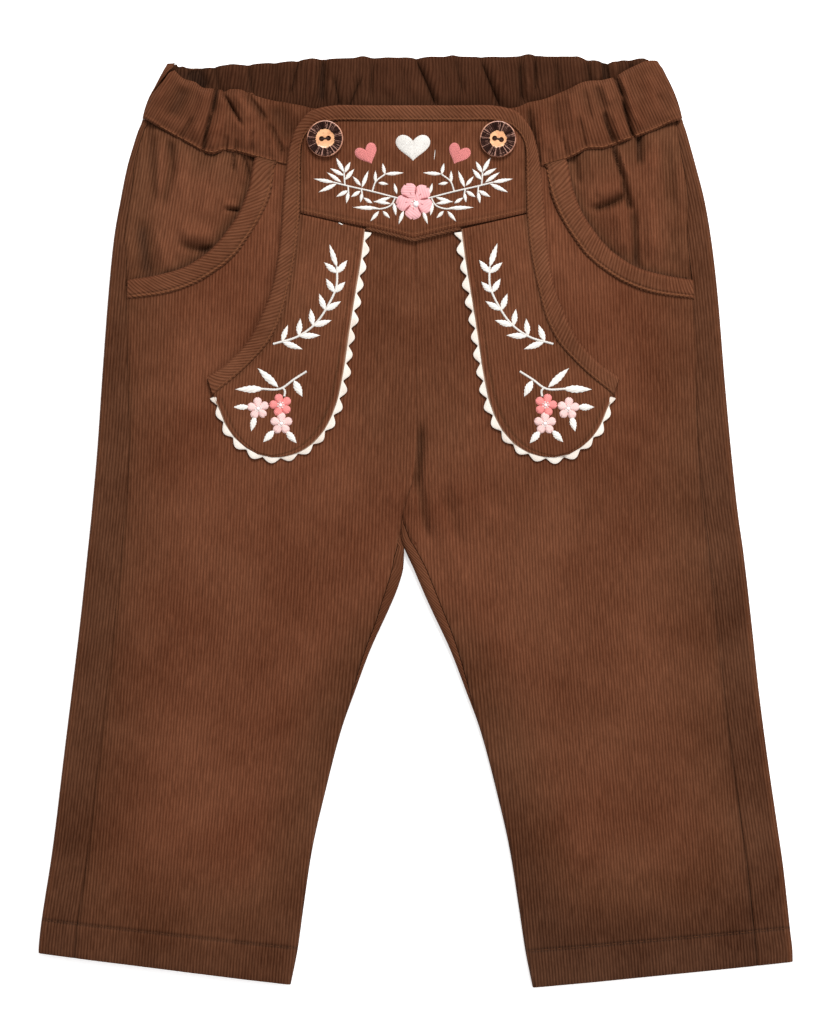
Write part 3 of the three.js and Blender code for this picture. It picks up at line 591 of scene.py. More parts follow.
def in_edit_mode(piece, *steps):
    """Runs edit-mode steps on the whole piece."""
    activate(piece)
    bpy.ops.object.mode_set(mode="EDIT")
    bpy.ops.mesh.select_all(action="SELECT")
    for step in steps:
        step()
    bpy.ops.object.mode_set(mode="OBJECT")


def apply_modifier(piece, kind, **settings):
    activate(piece)
    bpy.ops.object.modifier_add(type=kind)
    modifier = piece.modifiers[-1]
    for name, value in settings.items():
        setattr(modifier, name, value)
    bpy.ops.object.modifier_apply(modifier=modifier.name)


def corners(mesh):
    flat = np.empty(len(mesh.vertices) * 3)
    mesh.vertices.foreach_get("co", flat)
    return flat.reshape(-1, 3)


def move_corners(mesh, places):
    mesh.vertices.foreach_set("co", np.asarray(places, float).ravel())
    mesh.update()


def keep_weave(mesh, weave):
    """Keeps each corner's place in the weave, in wales, as the UV map."""
    layer = mesh.uv_layers[0] if mesh.uv_layers else mesh.uv_layers.new()
    layer.name = "weave"
    vertex = np.empty(len(mesh.loops), dtype=np.int32)
    mesh.loops.foreach_get("vertex_index", vertex)
    layer.data.foreach_set("uv", (weave[vertex] / pattern().wale_pitch * MM).ravel())


# The tone holds the lie of the pile together with painted shade and highlights, for the corduroy finish.
def keep_tone(mesh, tone):
    layer = mesh.attributes.new("tone", "FLOAT", "POINT")
    layer.data.foreach_set("value", np.asarray(tone, float))


def grid(name, across, along, form):
    """A grid whose corners form(u, v) moves to their places. It gives the places, the weave and
    the tone, all in millimetres."""
    piece = added(bpy.ops.mesh.primitive_grid_add, name,
                  x_subdivisions=across, y_subdivisions=along, size=2, calc_uvs=True)
    start = corners(piece.data)
    places, weave, tone = form((start[:, 0] + 1) / 2, (1 - start[:, 1]) / 2)
    move_corners(piece.data, places * MM)
    keep_weave(piece.data, weave)
    keep_tone(piece.data, tone)
    return piece


def face_out(piece, facing=UP):
    """Turns the faces round if most of the large ones look away from the outside."""
    mesh = piece.data
    normals = np.empty(len(mesh.polygons) * 3)
    areas = np.empty(len(mesh.polygons))
    mesh.polygons.foreach_get("normal", normals)
    mesh.polygons.foreach_get("area", areas)
    if float((normals.reshape(-1, 3) @ np.array(facing, float)) @ areas) < 0:
        in_edit_mode(piece, bpy.ops.mesh.flip_normals)


def give_thickness(piece, thickness_mm, inside=0):
    """Gives cloth its thickness inwards. Inside is how many finishes further on its inner face is."""
    apply_modifier(piece, "SOLIDIFY", thickness=thickness_mm * MM, offset=-1, material_offset=inside)


def finish(piece, slot, *materials, nodes=(), smooth=60):
    """Smooths a piece, gives it its materials and says what it rides on and stands for."""
    activate(piece)
    bpy.ops.object.shade_smooth_by_angle(angle=math.radians(smooth))
    for material in materials:
        piece.data.materials.append(material)
    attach(piece, "root")
    if nodes:
        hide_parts(*nodes)
    return piece


def cloth_piece(name, across, along, form, thickness_mm, material, slot="corduroy", facing=UP):
    """A shell of cloth, named for its solid and for what it is made of."""
    piece = grid(name, across, along, form)
    face_out(piece, facing)
    give_thickness(piece, thickness_mm)
    return finish(piece, slot, finish_named(material), nodes=[name.rsplit("_", 1)[0]])


def join(name, pieces):
    deselect()
    for piece in pieces:
        piece.select_set(True)
    bpy.context.view_layer.objects.active = pieces[0]
    bpy.ops.object.join()
    joined = bpy.context.object
    joined.name = joined.data.name = name
    return joined


def sewn(name, shape, frames, material, slot="cotton_braid"):
    """Copies of one small shape, joined. Each frame is a place and three axes, in metres."""
    template = corners(shape.data)
    keep_weave(shape.data, template[:, :2])
    copies = []
    for origin, axes in frames:
        copy = shape.copy()
        copy.data = shape.data.copy()
        bpy.context.scene.collection.objects.link(copy)
        move_corners(copy.data, template @ axes + origin)
        copies.append(copy)
    return finish(join(name, copies), slot, finish_named(material))


def remove(piece):
    mesh = piece.data
    bpy.data.objects.remove(piece)
    bpy.data.meshes.remove(mesh)


def surface_heights(names, x, y):
    """The height in millimetres of the highest of the named pieces at each place."""
    heights = np.full(len(x), -1e3)
    for piece in (bpy.data.objects[name] for name in names):
        for k in range(len(x)):
            hit, place, _, _ = piece.ray_cast((x[k] * MM, y[k] * MM, 0.1), (0, 0, -1))
            if hit:
                heights[k] = max(heights[k], place.z / MM)
    return heights


# ---------------------------------------------------------------- finishes
def paint(red, green, blue):
    """A colour from its everyday 0 to 255 values."""
    values = [channel / 255 for channel in (red, green, blue)]
    return [v / 12.92 if v <= 0.04045 else ((v + 0.055) / 1.055) ** 2.4 for v in values]


def shade(colour, share):
    return [min(1.0, channel * share) for channel in colour[:3]]


def socket_label(name):
    return {"ior": "IOR", "specular": "Specular IOR Level"}.get(name, name.replace("_", " ").title())


class Finish:
    """A new material, with short ways to add its nodes."""

    def __init__(self, name, **uniform):
        self.material = bpy.data.materials.new(name)
        self.material.use_nodes = True
        self.nodes = self.material.node_tree.nodes
        self.links = self.material.node_tree.links
        self.nodes.clear()
        self.shader = self.nodes.new("ShaderNodeBsdfPrincipled")
        output = self.nodes.new("ShaderNodeOutputMaterial")
        self.links.new(self.shader.outputs["BSDF"], output.inputs["Surface"])
        self.wear(**uniform)

    def node(self, kind, inputs, output=0, **settings):
        made = self.nodes.new("ShaderNode" + kind)
        for name, value in settings.items():
            setattr(made, name, value)
        for socket, value in inputs.items():
            self.put(value, made.inputs[socket])
        return made.outputs[output]

    def put(self, value, socket):
        if isinstance(value, bpy.types.NodeSocket):
            self.links.new(value, socket)
        elif socket.type == "RGBA":
            socket.default_value = [*value[:3], 1]
        else:
            socket.default_value = value

    def math(self, operation, first, second=0.0, clamp=False):
        return self.node("Math", {0: first, 1: second}, operation=operation, use_clamp=clamp)

    def stretch(self, vector, scale=(1, 1, 1), location=(0, 0, 0), turn=0.0):
        return self.node("Mapping", {"Vector": vector, "Scale": scale, "Location": location,
                                     "Rotation": (0, 0, turn)})

    def noise(self, vector, scale=1.0, detail=2.0, roughness=0.5):
        return self.node("TexNoise", {"Vector": vector, "Scale": scale, "Detail": detail,
                                      "Roughness": roughness})

    def waves(self, vector, turn, scale, distortion, detail=2.0):
        return self.node("TexWave", {"Vector": self.stretch(vector, turn=turn), "Scale": scale,
                                     "Distortion": distortion, "Detail": detail}, output="Fac")

    def remap(self, value, low, high, to_low=0.0, to_high=1.0):
        return self.node("MapRange", {"Value": value, "From Min": low, "From Max": high,
                                      "To Min": to_low, "To Max": to_high})

    def mix(self, first, second, share):
        return self.node("Mix", {0: share, 6: first, 7: second}, output=2, data_type="RGBA")

    def darker(self, colour, share):
        return self.mix(colour, [0, 0, 0], share)

    def bump(self, height, distance_mm, strength=1.0):
        return self.node("Bump", {"Height": height, "Distance": distance_mm * MM, "Strength": strength})

    def object_place(self):
        return self.node("TexCoord", {}, output="Object")

    def weave(self):
        return self.node("UVMap", {}, uv_map="weave")

    def wear(self, **sockets):
        for name, value in sockets.items():
            self.put(value, self.shader.inputs[socket_label(name)])
        return self.material


def corduroy(name, colour, relief_mm=0.32):
    """Fine-wale cotton corduroy: rounded ribs of pile, streaked and a little cloudy."""
    cloth = Finish(name, sheen_weight=0.03, sheen_roughness=0.4, specular=0.05,
                   sheen_tint=paint(214, 150, 110))
    weave, place = cloth.weave(), cloth.object_place()
    wander = cloth.noise(cloth.stretch(weave, (0.16, 0.05, 1)), 1.0, 2.0)
    across = cloth.node("SeparateXYZ", {"Vector": weave})
    phase = cloth.math("ADD", across, cloth.remap(wander, 0.3, 0.7, -0.09, 0.09))
    wave = cloth.math("COSINE", cloth.math("MULTIPLY", phase, 2 * math.pi))
    wale = cloth.math("POWER", cloth.remap(wave, -1, 1), 0.7)
    streaks = cloth.noise(cloth.stretch(weave, (1.1, 0.12, 1)), 1.0, 3.0, 0.6)
    pile = cloth.noise(cloth.stretch(weave, (2.4, 1.1, 1)), 1.0, 3.0, 0.65)
    hairs = cloth.noise(cloth.stretch(weave, (2.9, 0.2, 1), location=(7, 3, 0)), 1.0, 3.0, 0.7)
    clouds = cloth.noise(place, 26.0, 4.0, 0.6)
    patches = cloth.noise(place, 9.0, 2.0)

    # The tone goes from painted shade, below 0, in creases, along seams and under edges, through the
    # olive lie of the pile at 0, which also stands for painted shade at the legs' edges, and its warm
    # lie at 1, to a paler tan above it, on rolled edges and as painted highlight on crease ridges.
    tone = cloth.node("Attribute", {}, output="Fac", attribute_name="tone")
    olive = [colour[0] * 0.69, colour[1] * 0.74, colour[2] * 0.68]
    painted_shade, pale_edge_and_highlight = shade(colour, 0.2), cloth.mix(colour, [0.56, 0.36, 0.24], 0.5)
    lie = cloth.math("ADD", tone, cloth.remap(patches, 0.3, 0.7, -0.15, 0.15), clamp=True)
    base = cloth.mix(cloth.mix(olive, colour, lie), painted_shade, cloth.remap(tone, -0.05, -1.2))
    base = cloth.mix(base, pale_edge_and_highlight, cloth.remap(tone, 1.35, 2.1))

    # Painted shade down in the grooves between the ribs, and painted highlight on their tops.
    groove, lit = cloth.darker(base, 0.19), cloth.mix(base, [0.62, 0.3, 0.17], 0.7 * colour[0])
    height = cloth.math("MULTIPLY", wale, cloth.remap(pile, 0.25, 0.8, 0.72, 1.1))
    uneven = cloth.math("ADD", height, cloth.remap(hairs, 0.3, 0.7, -0.32, 0.32))
    ribs = cloth.mix(groove, lit, cloth.remap(uneven, 0.0, 1.0))
    combed = cloth.mix(ribs, cloth.darker(ribs, 0.16), cloth.remap(hairs, 0.62, 0.44))
    streaked = cloth.mix(combed, cloth.darker(combed, 0.18), cloth.remap(streaks, 0.45, 0.75))
    lit = cloth.mix(streaked, [0.6, 0.3, 0.17], 0.3 * colour[0])
    cloudy = cloth.mix(cloth.darker(streaked, 0.16), lit, cloth.remap(clouds, 0.35, 0.68))
    relief = cloth.math("ADD", height, cloth.math("MULTIPLY", pile, 0.35))
    return cloth.wear(base_color=cloudy, roughness=cloth.remap(pile, 0.2, 0.8, 0.98, 0.82),
                      normal=cloth.bump(relief, relief_mm, 0.6))


def thread(name, colour, pitch=1.0, gloss=0.55, sheen=0.12):
    """Twisted or laid cotton thread, with fine strands across each stitch."""
    cotton = Finish(name, sheen_weight=sheen, sheen_roughness=0.4,
                    specular=0.3 if sheen > 0.1 else 0.05)
    place = cotton.object_place()
    strands = cotton.waves(cotton.weave(), math.radians(28), 1.1 * pitch, 1.2, 1.5)
    fuzz = cotton.noise(place, 1400.0, 2.0, 0.6)
    lie = cotton.noise(place, 210.0, 2.0)
    laid = cotton.mix(cotton.darker(colour, 0.14), colour, cotton.remap(strands, 0.05, 0.6))
    uneven = cotton.mix(cotton.darker(laid, 0.1), laid, cotton.remap(lie, 0.3, 0.6))
    relief = cotton.math("ADD", strands, cotton.math("MULTIPLY", fuzz, 0.5))
    return cotton.wear(base_color=uneven, roughness=cotton.remap(fuzz, 0.2, 0.8, gloss, gloss + 0.2),
                       normal=cotton.bump(relief, 0.1, 0.8))


def braid_cotton(name, colour):
    """A flat woven braid, with the plait showing as small slanting ribs."""
    cotton = Finish(name, sheen_weight=0.15, sheen_roughness=0.5)
    weave = cotton.weave()
    plait = cotton.math("MAXIMUM", *(cotton.waves(weave, turn, 0.75, 0.6) for turn in (0.8, -0.8)))
    soil = cotton.noise(cotton.object_place(), 160.0, 3.0)
    shadowed = cotton.mix(cotton.mix(colour, paint(176, 150, 128), 0.5), colour,
                          cotton.remap(plait, 0.1, 0.7))
    worn = cotton.mix(cotton.mix(shadowed, paint(196, 172, 152), 0.35), shadowed,
                      cotton.remap(soil, 0.35, 0.6))
    return cotton.wear(base_color=worn, roughness=0.85, normal=cotton.bump(plait, 0.12, 0.8))


def coconut_bark(name, centre):
    """The dark fibrous face of a coconut shell, scratched outwards from the middle."""
    shell = Finish(name, specular=0.04)
    local = shell.stretch(shell.object_place(), location=[-value * MM for value in centre])
    outward = shell.node("VectorMath", {0: local}, operation="NORMALIZE")
    rays = shell.noise(shell.stretch(outward, (15, 15, 2)), 1.0, 4.0, 0.7)
    fibres = shell.noise(local, 900.0, 3.0, 0.7)
    rough = shell.math("ADD", shell.math("MULTIPLY", rays, 0.75), shell.math("MULTIPLY", fibres, 0.25))
    bark = shell.mix(paint(20, 9, 7), paint(52, 29, 23), shell.remap(rough, 0.4, 0.56))
    scratched = shell.mix(bark, paint(176, 132, 116), shell.remap(rough, 0.55, 0.6))
    return shell.wear(base_color=scratched, roughness=shell.remap(rays, 0.3, 0.7, 0.55, 0.8),
                      normal=shell.bump(rough, 0.35, 0.7))


def coconut_flesh(name, colour, edge):
    """The pale cut wood under the bark, with fine darker flecks."""
    wood = Finish(name, coat_weight=0.3, coat_roughness=0.2)
    place = wood.object_place()
    flecks = wood.noise(place, 1300.0, 3.0, 0.6)
    figure = wood.noise(place, 300.0, 2.0)
    grain = wood.mix(edge, colour, wood.remap(figure, 0.35, 0.6))
    flecked = wood.mix(wood.mix(grain, [0.05, 0.02, 0.01], 0.4), grain, wood.remap(flecks, 0.3, 0.45))
    return wood.wear(base_color=flecked, roughness=wood.remap(figure, 0.3, 0.7, 0.35, 0.5),
                     normal=wood.bump(flecks, 0.05, 0.5))


def pearl(name):
    bead = Finish(name, coat_weight=0.6, coat_roughness=0.1)
    sheen = bead.noise(bead.object_place(), 700.0, 1.0)
    colour = bead.mix(paint(240, 226, 232), paint(255, 250, 246), sheen)
    return bead.wear(base_color=colour, roughness=0.25)


def studio_paper(name, colour):
    """Pale paper that gives off half of its light."""
    paper = Finish(name, emission_color=(1, 1, 1), emission_strength=0.5)
    grain = paper.noise(paper.object_place(), 60.0, 3.0)
    return paper.wear(base_color=paper.mix(shade(colour, 0.985), colour, grain), roughness=0.9)


def finish_recipes(colours):
    """The maker of each finish and its settings, from the colours in the sidebar."""
    return {
        "corduroy": (corduroy, colours.corduroy),
        "flap corduroy": (corduroy, shade(colours.corduroy, 1.06)),
        "pocket corduroy": (corduroy, colours.bias),
        "band corduroy": (corduroy, shade(colours.corduroy, 0.94)),
        # The inside of the back band: the same corduroy at about half its brightness, painted shade
        # where it lies under the front band.
        "inner band corduroy": (corduroy, shade(colours.corduroy, 0.47)),
        "bias corduroy": (corduroy, colours.bias, 0.36),
        "seam thread": (thread, colours.seam_thread, 2.0, 0.7, 0.02),
        "hem thread": (thread, shade(colours.seam_thread, 0.62), 2.0, 0.7, 0.0),
        "white thread": (thread, colours.white_thread, 1.6),
        "rose thread": (thread, colours.rose_thread, 2.8),
        "blush thread": (thread, colours.blush_thread, 2.8),
        "coral thread": (thread, colours.coral_thread, 2.8),
        "outline thread": (thread, paint(196, 104, 104), 1.6),
        "button thread": (thread, paint(52, 28, 18), 1.6),
        "cotton braid": (braid_cotton, colours.braid),
        "coconut flesh": (coconut_flesh, paint(230, 174, 126), paint(214, 152, 106)),
        "coconut rim": (coconut_flesh, paint(204, 148, 120), paint(146, 92, 72)),
        "pearl": (pearl,),
        "studio paper": (studio_paper, colours.floor),
    }


made_finishes = {}


def finish_named(name):
    """Each finish is made once."""
    if name not in made_finishes:
        maker, *settings = finish_recipes(palette())[name]
        made_finishes[name] = maker(name, *settings)
    return made_finishes[name]


# ---------------------------------------------------------------- the leg panels
FIELD_SHARE = 0.8                       # of a front panel's width; the rest turns in at the inseam
BACK_PARTS = (0, 0.17, 0.34, 0.7, 1)    # strip on the front, fold, floor and inseam of a back panel
WIDE_RIPPLE = 46


def by_rows(points, share):
    """The place at a share of a table's rows, on a smooth curve through them."""
    points = np.asarray(points, float)
    keys = np.arange(len(points), dtype=float)
    tangents = np.gradient(points, axis=0)
    at = np.asarray(share, float) * keys[-1]
    return together(*(cubic_between(keys, points[:, k], tangents[:, k], at) for k in (0, 1)))


def across_strip(strip, share, toward_stitch):
    """The place at a share of a binding's length, and of the way from its edge to its stitches."""
    edge, stitch = (by_rows(points, share) for points in strip.values())
    return lerp(edge, stitch, np.asarray(toward_stitch, float)[..., None])


def pocket_x(side, half_distance):
    return SIDES[side]["sign"] * half_distance + POCKET_SHIFT_X


def pocket_edge(side, share, toward_stitch):
    """A line along the pocket, from its mouth (0) to the stitched edge of its binding (1)."""
    place = across_strip(POCKET, share, toward_stitch)
    return together(pocket_x(side, place[..., 0]), place[..., 1])


def leg_pile_and_shade(x, y):
    """The warm or olive lie of the pile with painted shade: 1 in the middle of a leg and 0 at its edges,
    where the cloth rounds away, and darker under the flap, towards the hems and over the left leg below
    the seat.
    """
    from_side = smoothstep(outline_at(y, x) - np.abs(x), 4, 52)
    gap = np.abs(x - read(LEG_GAP, y, "centre")) - read(LEG_GAP, y, "half_width")
    from_gap = lerp(1, smoothstep(gap, 2, 34), smoothstep(-y, 20, 60))
    from_hem = smoothstep(y, -200, -130)
    # Painted shadow of the flap, and painted shade towards the hems and over the left leg below the
    # seat.
    flap_shadow = 0.55 * smoothstep(-np.abs(x), -34, -16) * smoothstep(y, 4, 44)
    in_shade = 0.35 * (1 - from_hem) + 0.42 * smoothstep(x, 10, 60) * smoothstep(-y, -60, 0)
    return from_side * from_gap * from_hem - flap_shadow - in_shade


def hem_tone(rows):
    """The line of shadow that the hem's stitches draw."""
    return 0.9 * bell(rows.from_hem_stitch, 0.7) * rows.on_leg


def front_panel(side):
    edge = pocket_edge(side, np.linspace(0, 1, 240), 0.3)
    top = waist_seam(edge[:, 0]) + TUCK
    edge_down = np.maximum.accumulate((top - edge[:, 1]) / (top - CROTCH_Y))
    quarter = FOLD_RADIUS * math.pi / 2

    def form(u, v):
        rows = Rows(side, graded(v, [(0, 0.02, 2), (0.21, 0.1, 0.6), (0.955, 0.012, 3), (1, 0.008, 2)]))
        across = graded(u, [(0, 0.03, 4), (FIELD_SHARE, 0.05, 1.5), (1, 0.06, 4)])
        in_field = across < FIELD_SHARE
        seam = by_side(SIDE_SEAM, rows.outer_y, rows.sign) - 0.25
        mouth_x = np.interp(rows.down, edge_down, edge[:, 0])
        by_pocket = rows.on_hip & (rows.down < edge_down[-1])
        start = np.where(by_pocket, np.maximum(seam, np.abs(rows.outer_x - mouth_x)), seam)
        roll = read(INSEAM, rows.inner_y, side) + SEAM_GAP / 2
        flat_from = np.maximum(quarter + 5, roll + 3)
        end = rows.width - fold_place(flat_from, FOLD_RADIUS)[0]
        inset = lerp(start, end, part(across, 0, FIELD_SHARE))
        travel = lerp(flat_from, roll, part(across, FIELD_SHARE, 1))
        places = np.where(in_field[:, None], rows.place(inset, True), rows.inner_fold(travel, True))
        x, y = places[:, 0].copy(), places[:, 1].copy()
        from_centre = np.where(in_field, rows.width - inset, travel) - roll
        from_waist = waist_seam(x) - y
        sewn_side = np.where(by_pocket, 0, 1)

        folds = crease_height(x, y, FRONT_CREASES[side]) * pattern().crease_depth
        z = folds + 0.55 * ripple(x, y, WIDE_RIPPLE, 3 + rows.sign)
        z += 0.22 * ripple(x, y, 15, 7 + rows.sign)
        z += hem_shape(rows)
        z -= 0.75 * sewn_side * seam_roll(inset - seam, 1.3)
        z -= seam_roll(from_waist, 1.8) * rows.on_hip
        proud = 0.9 * smoothstep(-y, -70, -10) * bell(from_centre, 7)
        proud *= 1 - 0.7 * wrap_at(rows.inner_y)
        z += proud if side == "right" else -0.3 * proud
        z -= 0.45 * seam_roll(from_centre, 1.2)
        places[:, 2] += z * np.where(rows.on_hip, 1, lerp(0.4, 1, smoothstep(from_centre, 0, 6)))
        # Above the crotch, the right panel laps a little over the left one.
        lap = smoothstep(rows.inner_y, CROTCH_Y, CROTCH_Y + 3) * rows.on_hip * bell(from_centre, 0.8)
        places[:, 0] += 0.35 * lap * (side == "right")
        places[:, 2] -= 0.3 * lap * (side == "left")

        # Painted shade and highlight: the leg's shade, the creases and the hem's line of shadow, painted
        # shadow under the waist seam, painted shade along the side seam and the centre seam's fold, and
        # a lighter line beside the centre seam over the seat.
        tone = leg_pile_and_shade(x, y) + crease_shade_and_highlight(folds) - hem_tone(rows)
        tone -= 0.5 * seam_roll(from_waist - 0.6, 1.6) * rows.on_hip
        tone -= 0.45 * sewn_side * seam_roll(inset - seam, 1.2) + 0.6 * seam_roll(from_centre, 0.9)
        tone += 0.3 * bell(from_centre - 1.3, 0.5) * rows.on_hip * (y > 20)
        return places, leg_weave(x, y), tone

    return cloth_piece(f"front_panel_{side}_cloth", 140, 190, form, pattern().cloth / MM, "corduroy")


def back_panel(side):
    """From the side seam on the front, round the outline, across the floor and up the inseam."""
    quarter = FOLD_RADIUS * math.pi / 2

    def form(u, v):
        rows = Rows(side, graded(v, [(0, 0.02, 2), (0.955, 0.012, 3), (1, 0.008, 2)]))
        wrap = wrap_at(rows.inner_y)
        seam = by_side(SIDE_SEAM, rows.outer_y, rows.sign) - SEAM_GAP / 2
        roll = read(INSEAM, rows.inner_y, side) - SEAM_GAP / 2
        strip, fold, floor, inseam = (part(u, *ends) for ends in zip(BACK_PARTS, BACK_PARTS[1:]))
        in_parts = [u < end for end in BACK_PARTS[1:4]]
        on_strip, at_inseam = in_parts[0], u >= BACK_PARTS[3]
        strip_inset = lerp(seam, FOLD_RADIUS, graded(strip, [(0, 0.12, 2)]))
        turn = lerp(quarter, -quarter, fold)
        floor_inset = lerp(FOLD_RADIUS, rows.width - FOLD_RADIUS, floor)
        travel = lerp(-quarter, roll, inseam)
        under = rows.place(rows.width - lerp(FOLD_RADIUS, 0, inseam), False)
        above, below = rows.inner_fold(travel, True), rows.inner_fold(travel, False)
        over = np.where((travel > 0)[:, None], above, below)
        places = np.select(
            [inside[:, None] for inside in in_parts],
            [rows.place(strip_inset, True), rows.outer_fold(turn), rows.place(floor_inset, False)],
            lerp(under, over, wrap[:, None]))
        x, y = places[:, 0].copy(), places[:, 1].copy()

        facing_up = np.select(in_parts, [np.ones_like(u), part(turn, 0, quarter), np.zeros_like(u)],
                              part(travel, 0, quarter) * wrap)
        z = facing_up * (0.4 * ripple(x, y, WIDE_RIPPLE, 3 + rows.sign) + hem_shape(rows))
        z -= 0.35 * seam_roll(seam - strip_inset, 1.0) * on_strip
        z -= 0.5 * seam_roll(roll - travel, 1.0) * facing_up * at_inseam
        z -= seam_roll(waist_seam(x) - y, 1.8) * rows.on_hip * on_strip
        # The underside's creases stand away from the floor, and fade out towards its folds.
        start, end = BACK_PARTS[2] + 0.02, BACK_PARTS[3] - 0.01
        relief = np.abs(crease_height(x, y, BACK_CREASES[side])) + 0.35 * (1 + ripple(x, y, 40, 11))
        relief += 0.5 * bell(rows.from_hem_stitch, 0.9) * rows.on_leg
        relief += 0.8 * seam_roll(rows.width - floor_inset, 2.0) * (1 - wrap)
        relief *= (u > start) & (u < end)
        places[:, 2] += z + relief * smoothstep(np.minimum(u - start, end - u), 0, 0.05)

        on_floor = -quarter - floor_inset + FOLD_RADIUS
        round_inseam = -2 * quarter - rows.width + 2 * FOLD_RADIUS - travel
        arc = lerp(on_floor - inseam * FOLD_RADIUS, round_inseam, wrap)
        arc -= 0.3 * y * smoothstep(travel, -2, 0)
        arc = np.select(in_parts, [quarter + strip_inset - FOLD_RADIUS, turn, on_floor], arc)
        # Painted shade on the strip that shows beside the side seam, darker than the legs' middles, and
        # the hem's line of shadow.
        tone = np.where(on_strip, leg_pile_and_shade(x, y) * 0.4 - 0.35, np.where(at_inseam, 0.3, -0.1))
        return places, together(arc, y), tone - hem_tone(rows) * (facing_up > 0)

    return cloth_piece(f"back_panel_{side}_cloth", 130, 170, form, pattern().cloth / MM, "corduroy",
                       facing=DOWN)


# ---------------------------------------------------------------- the waistband
BAND_FOLD_SHARE = 0.1                   # of the back band's length, at each end


def gathers(x, y, seed):
    """Small uneven puffs between the gathers of the elastic, across the band."""
    random = np.random.default_rng(seed)
    total = np.zeros_like(x)
    place, end, spacing, middle_y = -125.0, 125, 9.0, 188
    while place < end:
        lean = random.uniform(-0.22, 0.22)
        width = random.uniform(1.8, 3.4)
        height = random.uniform(0.25, 0.9)
        fade = 0.6 + 0.4 * np.sin(y / random.uniform(5, 9) + random.uniform(0, 6))
        total += height * fade * bell(x - place - lean * (y - middle_y), width)
        place += spacing * random.uniform(0.6, 1.3)
    return total


def front_band():
    def form(u, v):
        across = graded(u, [(0, 0.012, 6), (0.12, 0.1, 1.4), (0.88, 0.1, 1.4), (1, 0.012, 6)])
        down = graded(v, [(0, 0.08, 2), (1, 0.08, 2)])
        edge_y = lerp(201, SIDE_EDGE_Y, down)
        right, left = (outline_at(edge_y, sign) - by_side(BAND_SEAM, edge_y, sign) for sign in (-1, 1))
        x = lerp(-right, left, across)
        y = lerp(band_top(x), waist_seam(x), down)
        from_end = np.where(x < 0, right, left) - np.abs(x)
        flat = smoothstep(from_end, 0, 9)
        puff = smoothstep(np.abs(x), BAND_FLAT_HALF - 8, BAND_PUFF_HALF)
        by_seam = y - waist_seam(x)

        folds = crease_height(x, y, FRONT_BAND_CREASES) * pattern().crease_depth
        folds *= smoothstep(np.abs(x), 46, 52)
        folds += puff * 0.7 * (gathers(x, y, 21) - 0.5)
        z = band_height(x, y) + (folds + 0.3 * ripple(x, y, 13, 5) * puff) * lerp(0.25, 1, flat)
        z -= puff * flat * (1.7 * bell(by_seam, 4.5) + 0.4 * bell(by_seam, 1.1))
        z -= lerp(0.8, 2.8, puff * flat) * seam_roll(band_top(x) - y, 1.9)
        z += 0.5 * bell(by_seam - 1.0, 0.8) - 0.5 * seam_roll(by_seam, 0.5)
        lean = np.where(x < 0, 0.02 + 0.6 * smoothstep(-x, 76, 108),
                        0.08 + 0.42 * smoothstep(x, 55, 106))
        # Painted shade: darker towards the band's top, where it rolls away, in the crease troughs
        # (lighter on their ridges) and in a line just above the waist seam.
        tone = 0.35 + 0.35 * smoothstep(y, 190, 166) + crease_shade_and_highlight(folds, 0.3)
        tone -= 0.35 * bell(by_seam - 2.6, 0.7) * puff
        return together(x, y, z), together(np.abs(x) + lean * (y - SIDE_EDGE_Y), y), tone

    return cloth_piece("waistband_front_cloth", 340, 60, form,
                       pattern().band_cloth / MM, "band corduroy")


